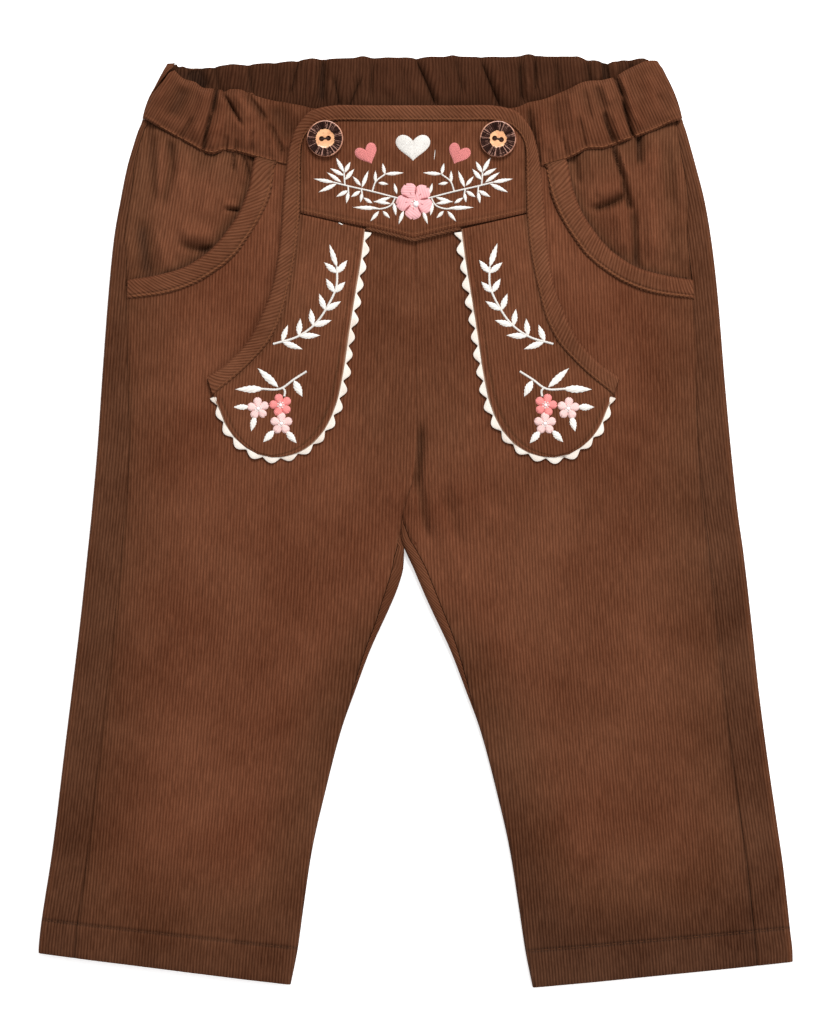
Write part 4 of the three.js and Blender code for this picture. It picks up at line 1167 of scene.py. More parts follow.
def back_band():
    """Round both outlines and across the floor, where its inside shows above the front."""
    radius = BAND_FOLD_RADIUS
    quarter = radius * math.pi / 2

    def form(u, v):
        down = graded(v, [(0, 0.08, 2), (1, 0.08, 1)])
        edge_y = lerp(201.2, SIDE_EDGE_Y, down)
        sign = np.where(u < 0.5, -1, 1)
        half = outline_at(edge_y, sign)
        inward = np.where(u < 0.5, u, 1 - u)
        on_fold = inward < BAND_FOLD_SHARE
        seam = radius * np.arccos(1 - by_side(BAND_SEAM, edge_y, sign) / radius)
        travel = lerp(seam, -quarter, part(inward, 0, BAND_FOLD_SHARE))
        inset, height, _ = fold_place(travel, radius)

        right, left = (outline_at(edge_y, end) - radius for end in (-1, 1))
        floor_x = lerp(-right, left, (u - BAND_FOLD_SHARE) / (1 - 2 * BAND_FOLD_SHARE))
        frill = 0.9 * gathers(floor_x, 0 * floor_x, 33) - 0.7
        floor_top = by_side(BACK_WAIST, np.abs(floor_x), floor_x)
        floor_top += frill * smoothstep(inward, BAND_FOLD_SHARE, 0.13)
        floor_y = lerp(floor_top, read(BACK_WAIST, np.abs(floor_x), "seam"), down)
        x = np.where(on_fold, sign * (half - inset), floor_x)
        y = np.where(on_fold, edge_y, floor_y)

        puffs = crease_height(x, y, BACK_BAND_CREASES)
        puffs += 0.7 * gathers(x, y, 33) + 0.3 * ripple(x, y, 14, 8)
        floor_z = np.maximum(2.4 + puffs, 0.1) * smoothstep(inward, BAND_FOLD_SHARE, 0.125)
        floor_z -= 0.8 * seam_roll(floor_top - floor_y, 1.4)
        over = smoothstep(travel, -quarter, 0) * seam_roll(201 - edge_y, 1.8)
        z = np.where(on_fold, height * (1 - 0.3 * over), np.maximum(floor_z, 0))
        z -= 0.5 * seam_roll(seam - travel, 0.8) * on_fold
        arc = np.where(on_fold, sign * (half + travel - seam), floor_x)
        # Painted shade in the troughs of the puffs, lighter on their ridges, at both ends of the band
        # and towards its seam, under the front band's edge.
        band_shade = crease_shade_and_highlight(puffs - 1.0, 0.3) - 0.62 * smoothstep(np.abs(x), 84, 104)
        band_shade -= 0.35 * smoothstep(floor_y, 190, 182)
        weave = together(arc * (1 + 0.0016 * (y - 190)), y)
        return together(x, y, z), weave, np.where(on_fold, 0.3, 0.35 + band_shade)

    piece = grid("waistband_back_cloth", 340, 40, form)
    face_out(piece, DOWN)
    for material in ("band corduroy", "inner band corduroy"):
        piece.data.materials.append(finish_named(material))
    give_thickness(piece, 0.6 * pattern().band_cloth / MM, inside=1)
    places = corners(piece.data)
    places[:, 2] = np.maximum(places[:, 2], 0.02 * MM)
    move_corners(piece.data, places)
    return finish(piece, "corduroy", nodes=["waistband_back"])


# ---------------------------------------------------------------- the pockets
STITCH_LINE = 0.8                       # of the way across a binding, from its edge


def pocket_bag(side):
    """The hip piece that shows inside the pocket's mouth."""
    sign, tucked_share = SIDES[side]["sign"], 0.2
    corner_x = float(outline_at(SIDE_EDGE_Y, sign) - by_side(SIDE_SEAM, SIDE_EDGE_Y, sign))
    corner_y = float(waist_seam(sign * corner_x)) + TUCK
    end_y = POCKET["mouth"][-1][1]

    def outer_place(share):
        """Along the waist seam, then down the side seam."""
        top_x = lerp(POCKET["mouth"][0][0] + 1, corner_x, part(share, 0, 0.5))
        side_y = lerp(corner_y, end_y - 6, part(share, 0.5, 1))
        side_x = outline_at(side_y, sign) - by_side(SIDE_SEAM, side_y, sign)
        by_waist = share < 0.5
        y = np.where(by_waist, waist_seam(sign * top_x) + TUCK, side_y)
        return together(np.where(by_waist, top_x, side_x) - sign * POCKET_SHIFT_X, y)

    def form(u, v):
        mouth, stitch = by_rows(POCKET["mouth"], v), by_rows(POCKET["stitch"], v)
        outer = outer_place(v)
        tucked = u < tucked_share
        near = part(u, 0, tucked_share)[:, None]
        away = graded(part(u, tucked_share, 1), [(0, 0.05, 2), (1, 0.05, 3)])[:, None]
        place = np.where(tucked[:, None], lerp(stitch, mouth, lerp(0.35, 1, near)),
                         lerp(mouth, outer, away))
        past = np.where(tucked, 0, np.hypot(*(place - mouth).T))
        from_outer = np.hypot(*(place - outer).T)
        x, y = pocket_x(side, place[:, 0]), place[:, 1]
        by_waist = seam_roll(waist_seam(x) - y, 2.2)
        folds = crease_height(x, y, BAG_CREASES[side]) * pattern().crease_depth
        folds *= smoothstep(past, -1, 1.5)
        z = front_height(x, y) - BAG_DROP * (1 - smoothstep(past, 0, POCKET_LIFT))
        z += folds + 0.4 * ripple(x, y, 16, 12 + sign) * smoothstep(past, 0, 6)
        z -= 0.45 * seam_roll(from_outer, 1.1) + 0.9 * by_waist
        # The lie of the pile with painted shade: warmer and lighter away from the mouth and the outer
        # seam, darker in the crease troughs, under the binding at the mouth and along the waist seam.
        warm = smoothstep(past, -2, 10) * smoothstep(from_outer, 4, 26)
        tone = 0.15 + 0.75 * warm + crease_shade_and_highlight(folds) - 0.9 * seam_roll(past, 2.0) - 0.6 * by_waist
        weave = leg_weave(x, y) + together(0.12 * (y - 140) * (sign < 0), 0 * y)
        return together(x, y, z), weave, tone

    return cloth_piece(f"pocket_bag_{side}_cloth", 96, 110, form, 1.0, "pocket corduroy")


def rounded(share, power=5.0):
    """The section of a folded strip: nearly flat, turning down at both edges."""
    return (1 - np.abs(2 * share - 1) ** power) ** 0.6


def dimples(along):
    """1 between the stitches of a row and 0 at them, by the length along it."""
    return 0.5 - 0.5 * np.cos(along / pattern().stitch_pitch * MM * 2 * math.pi)


def pocket_binding(side):
    fine = np.linspace(0, 1, 400)
    lengths = path_lengths(across_strip(POCKET, fine, 0.5))
    length, width = lengths[-1], 9.0
    bias = -48 if side == "right" else 64

    def form(u, v):
        rows = np.interp(v * length, lengths, fine)
        pucker = 0.14 * np.sin(v * 2 * math.pi * 46) * smoothstep(u, 0.7, 1)
        across = np.clip(graded(u, [(0, 0.1, 2), (1, 0.12, 3)]), 0, 1)
        place = across_strip(POCKET, rows, across + pucker * 0.12)
        x, y = pocket_x(side, place[:, 0]), place[:, 1]
        y = y + (waist_seam(x) + 0.5 - y) * (1 - smoothstep(v, 0, 0.14)) * (place[:, 1] > 140)
        notch = dimples(v * length)
        z = front_height(x, y) + 0.1 + 1.55 * rounded(across) + 0.18 * ripple(x, y, 12, 17)
        z -= 1.28 * (1 - smoothstep(across, 0, 0.12)) + 0.4 * bell(across - STITCH_LINE, 0.04)
        z -= 0.5 * notch * smoothstep(across, 0.93, 1)
        z -= 0.5 * seam_roll(np.minimum(v, 1 - v) * length, 1.3)
        # Painted shade in the notches between the stitches, along the stitch line and by the waist seam;
        # a lighter line along the folded edge at the mouth.
        tone = 0.6 + 0.25 * ripple(x, y, 30, 4) - notch * smoothstep(across, 0.9, 1)
        tone -= 0.5 * bell(across - STITCH_LINE, 0.05) + 0.3 * seam_roll(waist_seam(x) - y, 1.5)
        tone += 0.7 * bell(across - 0.07, 0.06)
        return together(x, y, z), bias_weave(v * length, across * width, bias), tone

    return cloth_piece(f"pocket_binding_{side}_cloth", 26, 240, form, 1.0,
                       "bias corduroy", "bias_corduroy")


# ---------------------------------------------------------------- the flap
YOKE_TOP, YOKE_POINT = 175.2, 124.1
WING_LENGTH = 150
WING_STITCH = 2.9                       # in from the wing's free edge


def flap_height(x, y):
    relief = crease_height(x, y, YOKE_CREASES) + crease_height(x, y, WING_CREASES)
    return FLAP_TOP + relief + 0.22 * ripple(x, y, 34, 29) + 0.1 * ripple(x, y, 14, 31)


def flap_yoke():
    def form(u, v):
        down = graded(v, [(0, 0.06, 1), (1, 0.04, 4)])
        across = 2 * graded(u, [(0, 0.03, 2), (1, 0.03, 2)]) - 1
        side = read(YOKE_SIDE, lerp(YOKE_TOP, YOKE_POINT, down), "half_width")
        half = across * (side + TUCK)
        hem, top = read(YOKE_HEM, np.abs(half), "y"), YOKE_TOP + 0.2
        x, y = FLAP_CENTRE_X + half, lerp(top, hem, down)
        from_side, from_stitch = side - np.abs(half), y - hem - 2.4
        z = flap_height(x, y) - 0.5 * seam_roll(from_side, 0.9) - 0.5 * seam_roll(top - y, 0.9)
        z -= 0.6 * seam_roll(y - hem, 0.6) + 0.2 * bell(from_stitch, 0.5)
        # Painted shade along the stitch groove above the hem and at the sides and top, where the yoke
        # turns under the binding.
        tone = 0.7 + 0.3 * ripple(x, y, 30, 2) - 0.4 * bell(from_stitch, 0.6)
        tone -= 0.5 * seam_roll(from_side, 1.2) + 0.4 * seam_roll(top - y, 1.2)
        return together(x, y, z), together(x, y), tone

    return cloth_piece("flap_yoke_cloth", 120, 90, form, pattern().flap_cloth / MM, "flap corduroy")


def flap_wing(side):
    sign = SIDES[side]["sign"]

    def form(u, v):
        down = graded(v, [(0, 0.02, 2), (1, 0.03, 3)])
        across = graded(u, [(0, 0.05, 3), (1, 0.05, 2)])
        inner, outer = along_path(WING_INNER, down), along_path(WING_OUTER, down)
        past_tip = smoothstep(down, 0.74, 0.78)
        tucked = TUCK * (1 - past_tip) * smoothstep(across, 0.9, 1)
        place = lerp(inner, outer, across[:, None]) + unit(outer - inner) * tucked[:, None]
        x, y = FLAP_CENTRE_X + sign * place[:, 0], place[:, 1]
        from_inner, from_outer = (np.hypot(*(place - edge).T) for edge in (inner, outer))
        from_free = np.minimum(np.where(past_tip > 0, from_outer, 99), (1 - down) * WING_LENGTH)
        from_free = np.minimum(from_inner, from_free)
        groove = bell(from_free - WING_STITCH, 0.6)
        z = flap_height(x, y) - 0.6 * seam_roll(from_free, 0.9)
        z -= 0.5 * seam_roll(down * WING_LENGTH, 0.8)
        z -= 0.35 * groove + 0.4 * seam_roll(from_outer, 0.9) * (1 - past_tip)
        # Painted shade along the stitch groove and by the outer edge under the binding; a much lighter
        # line along the rolled free edge.
        tone = 0.6 + 0.3 * ripple(x, y, 30, 6) - 0.9 * groove * smoothstep(down, 0.3, 0.6)
        tone += 1.7 * seam_roll(from_free, 0.9) - 0.6 * seam_roll(from_outer, 1.2) * (1 - past_tip)
        return together(x, y, z), together(np.abs(place[:, 0]) + 0.084 * (y - 80), y), tone

    return cloth_piece(f"flap_wing_{side}_cloth", 80, 150, form,
                       pattern().flap_cloth / MM, "flap corduroy")


def flap_binding_line(share, toward_stitch):
    """A line along the flap's binding, from the tip of the right wing to that of the left."""
    share = np.asarray(share, float)
    place = across_strip(FLAP_BINDING, np.abs(2 * share - 1), toward_stitch)
    return together(FLAP_CENTRE_X + np.where(share < 0.5, -1, 1) * place[..., 0], place[..., 1])


def flap_binding():
    fine = np.linspace(0, 1, 900)
    lengths = path_lengths(flap_binding_line(fine, 0.5))
    length, width = lengths[-1], 7.5

    def form(u, v):
        across = graded(u, [(0, 0.12, 2), (1, 0.12, 3)])
        pucker = 0.012 * np.sin(v * length / 2.0 * 2 * math.pi) * smoothstep(across, 0.7, 1)
        x, y = flap_binding_line(np.interp(v * length, lengths, fine), across + pucker).T
        notch = dimples(v * length)
        z = flap_height(x, y) + 0.75 * rounded(across, 4) - 0.9 * (1 - smoothstep(across, 0, 0.12))
        z -= 0.3 * bell(across - STITCH_LINE, 0.04) + 0.35 * notch * smoothstep(across, 0.93, 1)
        z -= 0.5 * seam_roll(np.minimum(v, 1 - v) * length, 1.2)
        # Painted shade in the notches between the stitches and along the stitch line; a lighter line
        # along the folded edge.
        tone = 0.6 + 0.3 * ripple(x, y, 26, 14) - 0.9 * notch * smoothstep(across, 0.9, 1)
        tone += 0.7 * bell(across - 0.06, 0.06) - 0.4 * bell(across - STITCH_LINE, 0.05)
        return together(x, y, z), bias_weave(v * length, across * width, 48), tone

    return cloth_piece("flap_binding_cloth", 20, 440, form, pattern().flap_cloth / MM, "bias corduroy",
                       "bias_corduroy")


def yoke_piping():
    """A rope-like cord of bias cloth, twisted, that shows under the middle of the yoke."""
    half_length, thickness = 21.0, 0.86

    def form(u, v):
        half = half_length * (2 * v - 1)
        around = u * 2 * math.pi
        twist = 0.12 * np.cos(2 * (around + half * 2.0))
        radius = (thickness + twist) * np.clip(np.minimum(v, 1 - v) * 26, 0.02, 1) ** 0.5
        x = FLAP_CENTRE_X + half
        y = read(YOKE_HEM, np.abs(half), "y") - 0.9 + radius * np.cos(around)
        z = LAID_HEIGHT + 1.45 + radius * np.sin(around)
        return together(x, y, z), bias_weave(half, around * 1.1, 40), 0.2 + 0 * x

    piece = grid("yoke_piping_cord", 20, 220, form)
    in_edit_mode(piece, lambda: bpy.ops.mesh.remove_doubles(threshold=1e-6),
                 lambda: bpy.ops.mesh.fill_holes(sides=24),
                 lambda: bpy.ops.mesh.normals_make_consistent(inside=False))
    return finish(piece, "bias_corduroy", finish_named("bias corduroy"), nodes=["yoke_piping"])


def ricrac(side):
    """A scalloped braid, sewn behind the free edge of a wing so that its outer waves show."""
    sign = SIDES[side]["sign"]
    outline = WING_INNER + WING_OUTER[WING_TIP + 1:][::-1] + [WING_OUTER[WING_TIP]]
    fine = along_path(outline, np.linspace(0, 1, 900))
    start, end = 1.2, path_lengths(fine)[-1] - 0.6
    scallops = round((end - start) / pattern().ricrac_pitch * MM)
    sizes = np.random.default_rng(40 + sign).uniform(0.86, 1.08, scallops + 1)

    def form(u, v):
        at = lerp(start, end, v)
        place, run = walk(fine, at, 0.8)
        wave = (0.5 + 0.5 * np.cos(2 * math.pi * scallops * v)) ** 0.65
        past_bend = 1 - 0.16 * smoothstep(v, 0.5, 0.62)
        scallop = np.clip((v * scallops + 0.5).astype(int), 0, scallops)
        reach = lerp(0.6, 3.1, wave) * past_bend * sizes[scallop]
        away = lerp(-2.2, reach, u)
        x = FLAP_CENTRE_X + sign * (place[:, 0] + run[:, 1] * away)
        y = place[:, 1] - run[:, 0] * away
        z = LAID_HEIGHT + 1.15 + 0.35 * part(reach - away, 0, 1.2) ** 0.5 + 0.12 * wave
        return together(x, y, z), together(at, away) * 1.35, 0 * x

    return cloth_piece(f"ricrac_{side}_braid", 10, scallops * 12, form, 0.8,
                       "cotton braid", "cotton_braid")


# ---------------------------------------------------------------- the buttons
BUTTON_PROFILE = [
    (6.9, 0), (7.6, 0.45), (8, 1.1), (8, 1.7), (7.92, 2.25), (7.75, 2.5), (7.5, 2.58), (7.25, 2.45),
    (6.4, 2.4), (5.4, 2.32), (4.5, 2.24), (3.85, 2.16), (3.5, 1.98), (3.1, 1.94), (2.4, 1.9),
]
BUTTON_LOOKS = {                        # how each one was cut: turns in degrees, lengths and shares
    "right": {"turn": 2.9, "spread": 1.14, "bare": 4.1, "tilt": 5},
    "left": {"turn": 0.7, "spread": 1.0, "bare": 3.7, "tilt": -12},
}
LOPSIDED_TURN = 0.9
HOLE_REACH, HOLE_RADIUS = 1.5, 1.15


def turned(x, y, angle):
    return x * math.cos(angle) - y * math.sin(angle), x * math.sin(angle) + y * math.cos(angle)


def button_blank(name, look):
    """The button's disc, extruded ring by ring, with its bark worn unevenly at both edges."""
    piece = added(bpy.ops.mesh.primitive_circle_add, name, vertices=72,
                  radius=BUTTON_PROFILE[0][0] * MM, fill_type="NGON", location=(0, 0, 0))
    bpy.context.scene.tool_settings.transform_pivot_point = "MEDIAN_POINT"
    bpy.ops.object.mode_set(mode="EDIT")
    bpy.ops.mesh.select_all(action="SELECT")
    for (radius, height), (next_radius, next_height) in zip(BUTTON_PROFILE, BUTTON_PROFILE[1:]):
        bpy.ops.mesh.extrude_region_move(
            TRANSFORM_OT_translate={"value": (0, 0, (next_height - height) * MM)})
        scale = next_radius / radius
        bpy.ops.transform.resize(value=(scale, scale, 1))
    bpy.ops.object.mode_set(mode="OBJECT")

    places = corners(piece.data) / MM
    radius, angle = np.hypot(places[:, 0], places[:, 1]), np.arctan2(places[:, 1], places[:, 0])
    turn = look["turn"]
    ragged = 1 + 0.07 * np.sin(3 * angle + turn) + 0.04 * np.sin(7 * angle + 2 * turn)
    ragged += 0.03 * np.sin(13 * angle)
    middle = (radius > 3.4) & (radius < 4.0)
    places[middle, :2] *= (ragged * look["spread"])[middle, None]
    chipped = (radius > 7.1) & (radius < 7.4)
    worn = 0.05 * np.cos(angle[chipped] - LOPSIDED_TURN) + 0.015 * np.sin(11 * angle[chipped] + turn)
    places[chipped, :2] *= 1 - 0.03 - worn[:, None]
    move_corners(piece.data, places * MM)

    for face in piece.data.polygons:
        x, y, z = face.center / MM
        out, rim = math.hypot(x, y), 7.46 - 0.3 * math.cos(math.atan2(y, x) - LOPSIDED_TURN)
        on_rim = out > rim or (z < BUTTON_PROFILE[-1][1] and out > 5)
        face.material_index = 0 if on_rim else 1 if out > look["bare"] else 2
    return piece


def button(side):
    """A coconut button: a pale rim, a ring of bark, and a bare middle with two holes."""
    (x, y), look = BUTTON_PLACES[side], BUTTON_LOOKS[side]
    tilt = math.radians(look["tilt"])
    piece = button_blank(f"button_{side}_coconut", look)
    for reach in (-HOLE_REACH, HOLE_REACH):
        x_mm, y_mm = turned(reach, 0, tilt)
        drill = added(bpy.ops.mesh.primitive_cylinder_add, "drill", vertices=20,
                      radius=HOLE_RADIUS * MM, depth=8 * MM, location=(x_mm * MM, y_mm * MM, 0))
        apply_modifier(piece, "BOOLEAN", operation="DIFFERENCE", solver="EXACT", object=drill)
        remove(drill)
    move_corners(piece.data, corners(piece.data) + np.array([x, y, BUTTON_BASE]) * MM)
    bark = coconut_bark(f"coconut bark {side}", (x, y, BUTTON_BASE + 1.9))
    finish(piece, "coconut_shell", finish_named("coconut rim"), bark, finish_named("coconut flesh"),
           nodes=[f"button_{side}"], smooth=35)

    tie = added(bpy.ops.mesh.primitive_uv_sphere_add, f"button_{side}_thread",
                segments=14, ring_count=10, radius=1)
    shape = corners(tie.data)
    waist = 1 - 0.35 * bell(shape[:, 0], 0.45)
    shape = shape * together(np.full(len(shape), 2.1), 0.56 * waist, 0.42 * waist)
    lying = together(*turned(shape[:, 0], shape[:, 1], tilt), shape[:, 2])
    move_corners(tie.data, (lying + np.array([x, y, BUTTON_BASE + 2.02])) * MM)
    keep_weave(tie.data, shape[:, :2])
    finish(tie, "coconut_shell", finish_named("button thread"))


# ---------------------------------------------------------------- the stitching
BINDING_STITCH = 0.88                   # of the way across a binding, from its edge
FLAP_PIECES = ["flap_yoke_cloth", "flap_wing_right_cloth", "flap_wing_left_cloth", "flap_binding_cloth"]


def stitch_shape():
    """One stitch, a unit long, wide and high, with its ends along X."""
    shape = added(bpy.ops.mesh.primitive_uv_sphere_add, "stitch", segments=6, ring_count=5, radius=0.5)
    in_edit_mode(shape, lambda: bpy.ops.transform.rotate(
        value=math.pi / 2, orient_axis="Y", center_override=(0, 0, 0)))
    return shape


def frames_on(under, points, pitch, size, slant=0.0):
    """A frame for each stitch along a line that lies on the named pieces."""
    place, run = even_path(points, pitch)
    heights = surface_heights(under, place[:, 0], place[:, 1])
    frames = []
    for (x, y), z, direction in zip(place, heights, run):
        if z < 0:
            continue
        ahead_x, ahead_y = turned(*direction, math.radians(slant))
        axes = np.array([(ahead_x, ahead_y, 0), (-ahead_y, ahead_x, 0), (0, 0, 1)])
        frames.append((np.array([x, y, z + size[2] * 0.12]) * MM, axes * np.array(size)[:, None] * MM))
    return frames


def stitch_rows(side):
    """The rows of one side: name, pieces under it, line, pitch, size of a stitch, and slant."""
    sign, pitch = SIDES[side]["sign"], pattern().stitch_pitch / MM
    x = sign * np.linspace(56.5, 112.5, 60)
    waist = together(x, waist_seam(x) + 1.0)
    yield "waist_seam", ["waistband_front_cloth"], waist, pitch, (2.1, 0.6, 0.36), 0

    edge = pocket_edge(side, np.linspace(0.015, 0.985, 80), BINDING_STITCH)
    yield "pocket", [f"pocket_binding_{side}_cloth"], edge, pitch, (2.1, 0.7, 0.45), 12 * sign

    to_stitch = HEM_DEPTH / (CROTCH_Y - SIDES[side]["hem_inner"])
    rows = Rows(side, np.full(80, 1 - (1 - HIP_SHARE) * to_stitch))
    hem = rows.place(np.linspace(1.5, float(rows.width[0]) - 1.5, 80), True)[:, :2]
    legs = [f"front_panel_{side}_cloth", f"back_panel_{side}_cloth"]
    yield "hem", legs, hem, 3.0, (2.2, 0.36, 0.24), 0

    share = np.linspace(0.03, 0.98, 80)
    inner, outer = along_path(WING_INNER, share), along_path(WING_OUTER, share)
    tongue = inner + unit(outer - inner) * WING_STITCH
    tongue = together(FLAP_CENTRE_X + sign * tongue[:, 0], tongue[:, 1])
    yield "wing", FLAP_PIECES, tongue, pitch, (1.8, 0.36, 0.24), 0

    half = sign * np.linspace(0.6, 48.3, 60)
    vee = together(FLAP_CENTRE_X + half, read(YOKE_HEM, np.abs(half), "y") + 1.4)
    yield "yoke", FLAP_PIECES, vee, pitch, (1.9, 0.46, 0.32), 0


def topstitching():
    """The rows of thread along the seams, each row a joined mesh of single stitches."""
    rim = flap_binding_line(np.linspace(0.006, 0.994, 300), BINDING_STITCH)
    rows = [(f"{row[0]}_stitches_{side}", *row[1:]) for side in SIDES for row in stitch_rows(side)]
    rows.append(("flap_stitches", FLAP_PIECES, rim, pattern().stitch_pitch / MM, (2.1, 0.5, 0.36), 8))
    frames = {name: frames_on(*row) for name, *row in rows}
    shape = stitch_shape()
    for name in frames:
        colour = "hem thread" if name.startswith(("hem", "wing")) else "seam thread"
        sewn(name, shape, frames[name], colour, "corduroy")
    remove(shape)


# ---------------------------------------------------------------- the embroidery
# Stems and leaves of one half, from the flap's middle line outwards. A leaf has the x and y of
# its root, its turn in degrees, its length and its width.
GARLAND_STEMS = [
    [(6.5, 141.0), (18, 144.0), (29.5, 146.6), (35, 148.0)],
    [(18, 144.0), (16.5, 148.2), (12.5, 151.5)],
    [(30, 146.8), (30.2, 149.1), (30.4, 152.3)],
    [(8, 141.0), (9.6, 138.2), (14, 136.4), (18, 136.6)],
    [(22.8, 145.0), (22.2, 141.4)],
    [(28.6, 146.2), (28.4, 143.0)],
]
GARLAND_LEAVES = [
    (34.5, 147.9, 10, 9.5, 2.0), (33.5, 147.4, -25, 9, 2.2), (31.5, 147.9, 35, 8, 2.0),
    (30.4, 150.9, 28, 7, 2.1), (30.4, 152.3, 62, 7.5, 2.1), (30.2, 152.1, 118, 5.8, 2.1),
    (30, 149.0, 130, 6.4, 2.2), (23, 146.4, 50, 5.6, 1.8), (22.6, 145.6, 111, 8.2, 2.0),
    (28.6, 144.4, -28, 6, 2.1), (28.4, 144.0, -80, 5.4, 1.9), (23.2, 144.2, -33, 5, 2.0),
    (22.4, 143.6, -80, 4.6, 1.7), (18, 138.8, 32, 4.8, 1.8), (9.8, 141.4, -16, 8, 1.8),
    (9.8, 138.6, 8, 8, 1.7), (15, 136.6, 2, 11.6, 2.1), (15, 135.4, -50, 6, 1.9),
    (13.4, 135.4, 225, 4.5, 1.8), (8.6, 139.2, -100, 6, 1.9), (4.2, 135.6, -70, 6.4, 1.9),
    (7.2, 142.8, 76, 5, 1.7), (12.6, 151.6, 176, 8.8, 2.0), (12.4, 151.3, 78, 5.3, 1.8),
    (16.7, 147.8, 91, 5.4, 1.7), (15.4, 147.8, 188, 4.6, 1.7),
]
SPRIG_STEM = [(33.5, 111), (33.7, 102.6), (37.7, 93.4), (42.9, 86), (50.1, 80.6), (61.5, 77)]
SPRIG_TIP_LEAF = (33.5, 111.2, 72, 11.2, 2.5)
# A pair of leaves on the sprig: where it sits, as a share of the stem, and each turn and length.
SPRIG_PAIRS = [
    (0.06, 128, 7.4, 40, 7.5), (0.24, 135, 6.8, 59, 7.3), (0.42, 150, 8.1, 70, 7.9),
    (0.60, 163, 8.6, 82, 7.7), (0.76, 178, 9.6, 96, 7.9), (0.92, 200, 9.8, 110, 8.0),
]
SPRAY_STEMS = [
    [(46.8, 65), (52.6, 61.8), (58, 58), (67.5, 57.8)], [(57.4, 58.4), (56.4, 57), (56.6, 54.5)],
]
SPRAY_LEAVES = [
    (65.5, 57.8, -1, 13, 3.2), (59.2, 58.4, 43, 12.6, 3.1), (52.4, 61.6, -117, 8.2, 3.2),
    (72, 49.8, 0, 7.6, 2.9), (69.4, 46, -76, 7.2, 2.9), (61, 39.6, -47, 7.2, 2.9),
    (55.8, 39.4, -130, 7.2, 2.9),
]
# Flowers: x and y of the middle, turn in degrees, size and thread.
SPRAY_FLOWERS = [
    (68.1, 49.2, 85, 4.9, "blush"), (58.2, 50.7, 75, 5.0, "coral"), (57.9, 42.6, 90, 4.9, "blush"),
]
YOKE_FLOWER = (FLAP_CENTRE_X + 0.6, 140.4, -97, 8.2, "rose")
# Hearts: name, x and y of the middle, width, height, turn in degrees and thread.
HEARTS = [
    ("white", -1.1, 163.6, 15.1, 11.4, 0, "white"), ("right", -21.1, 160.6, 9.8, 8.8, 24, "coral"),
    ("left", 18.7, 160.6, 9.8, 8.8, -24, "coral"),
]
# Loose ends of thread: x, y, turn in degrees, length, width and height.
STRAY_THREADS = [
    (8.4, 160.6, 84, 4.6, 0.35, 0.5), (-32.9, 130.3, -25, 2.2, 0.6, 0.6),
    (50.2, 57.2, 70, 3.0, 0.3, 0.6),
]
UPPER_Y, UPPER_LIFT = 62, 0.5           # what lies above this line sits a little higher
PETALS = 5


def from_grid(name, across, along, form):
    """A small shape from a grid: form(along, across) gives its places, a unit long from its root."""
    shape = added(bpy.ops.mesh.primitive_grid_add, name,
                  x_subdivisions=along, y_subdivisions=across, size=1)
    flat = corners(shape.data)
    move_corners(shape.data, form(flat[:, 0] + 0.5, 2 * flat[:, 1]))
    return shape


def leaf_shape():
    """One leaf of laid stitches."""
    def form(along, across):
        strands = 0.1 * np.cos(along * 12 * math.pi)
        width = np.sin(math.pi * np.clip(along, 0.001, 0.999) ** 0.85) ** 1.1
        height = (1 - across**2) * (width**0.5 + strands)
        return together(along, 0.5 * across * width * (1 + strands * np.abs(across)), height)

    return from_grid("leaf", 4, 12, form)


def petal_shape():
    """One rounded petal, a little notched at its end."""
    def form(along, across):
        width = 0.47 * np.sin(math.pi * (0.05 + 0.93 * along) ** 1.7) ** 0.55
        notch = 0.1 * bell(across, 0.35) * smoothstep(along, 0.6, 1)
        height = (1 - across**4) * smoothstep(np.minimum(along, 1 - along), -0.02, 0.2)
        height += 0.06 * np.cos(across * 14)
        return together(along - notch + 0.04 * (1 - across**2) * along, across * width, height)

    return from_grid("petal", 8, 10, form)


def mirrored(rows):
    """Both halves of what is placed from the flap's middle line: x, y, turn and the rest."""
    for sign in (1, -1):
        for x, y, turn, *rest in rows:
            yield (FLAP_CENTRE_X + sign * x, y, turn if sign > 0 else 180 - turn, *rest)


def outwards(x, y, turn, reach):
    """The place so far out from a middle, in the direction of a turn in degrees."""
    return x + math.cos(math.radians(turn)) * reach, y + math.sin(math.radians(turn)) * reach


def laid_frame(x, y, turn, length, width, height, lift=0.0):
    """The frame of a shape that lies on the flap."""
    ahead_x, ahead_y = outwards(0, 0, turn, 1)
    axes = np.array([(ahead_x, ahead_y, 0), (-ahead_y, ahead_x, 0), (0, 0, 1)])
    z = float(flap_height(np.array([x]), np.array([y]))[0]) + 0.03 + lift
    return np.array([x, y, z]) * MM, axes * np.array([length, width, height])[:, None] * MM


def stem(name, points, width, height=0.5):
    """A stem of close stitches: a low rounded cord along a line on the flap."""
    length = path_lengths(points)[-1]

    def form(u, v):
        before, after = (along_path(points, np.clip(v + step, 0, 1)) for step in (-0.01, 0.01))
        ahead = unit(after - before)
        across = (2 * u - 1) * (0.5 * width + 0.05 * np.sin(v * length * 5))
        x, y = (along_path(points, v) + together(-ahead[:, 1], ahead[:, 0]) * across[:, None]).T
        dome = height * np.sqrt(np.clip(1 - (2 * u - 1) ** 2, 0, 1))
        dome *= 1 + 0.14 * np.sin(v * length * 7)
        return together(x, y, flap_height(x, y) + dome), together(v * length, across), 0 * x

    piece = grid(name, 6, max(8, round(length * 2.2)), form)
    face_out(piece)
    return piece


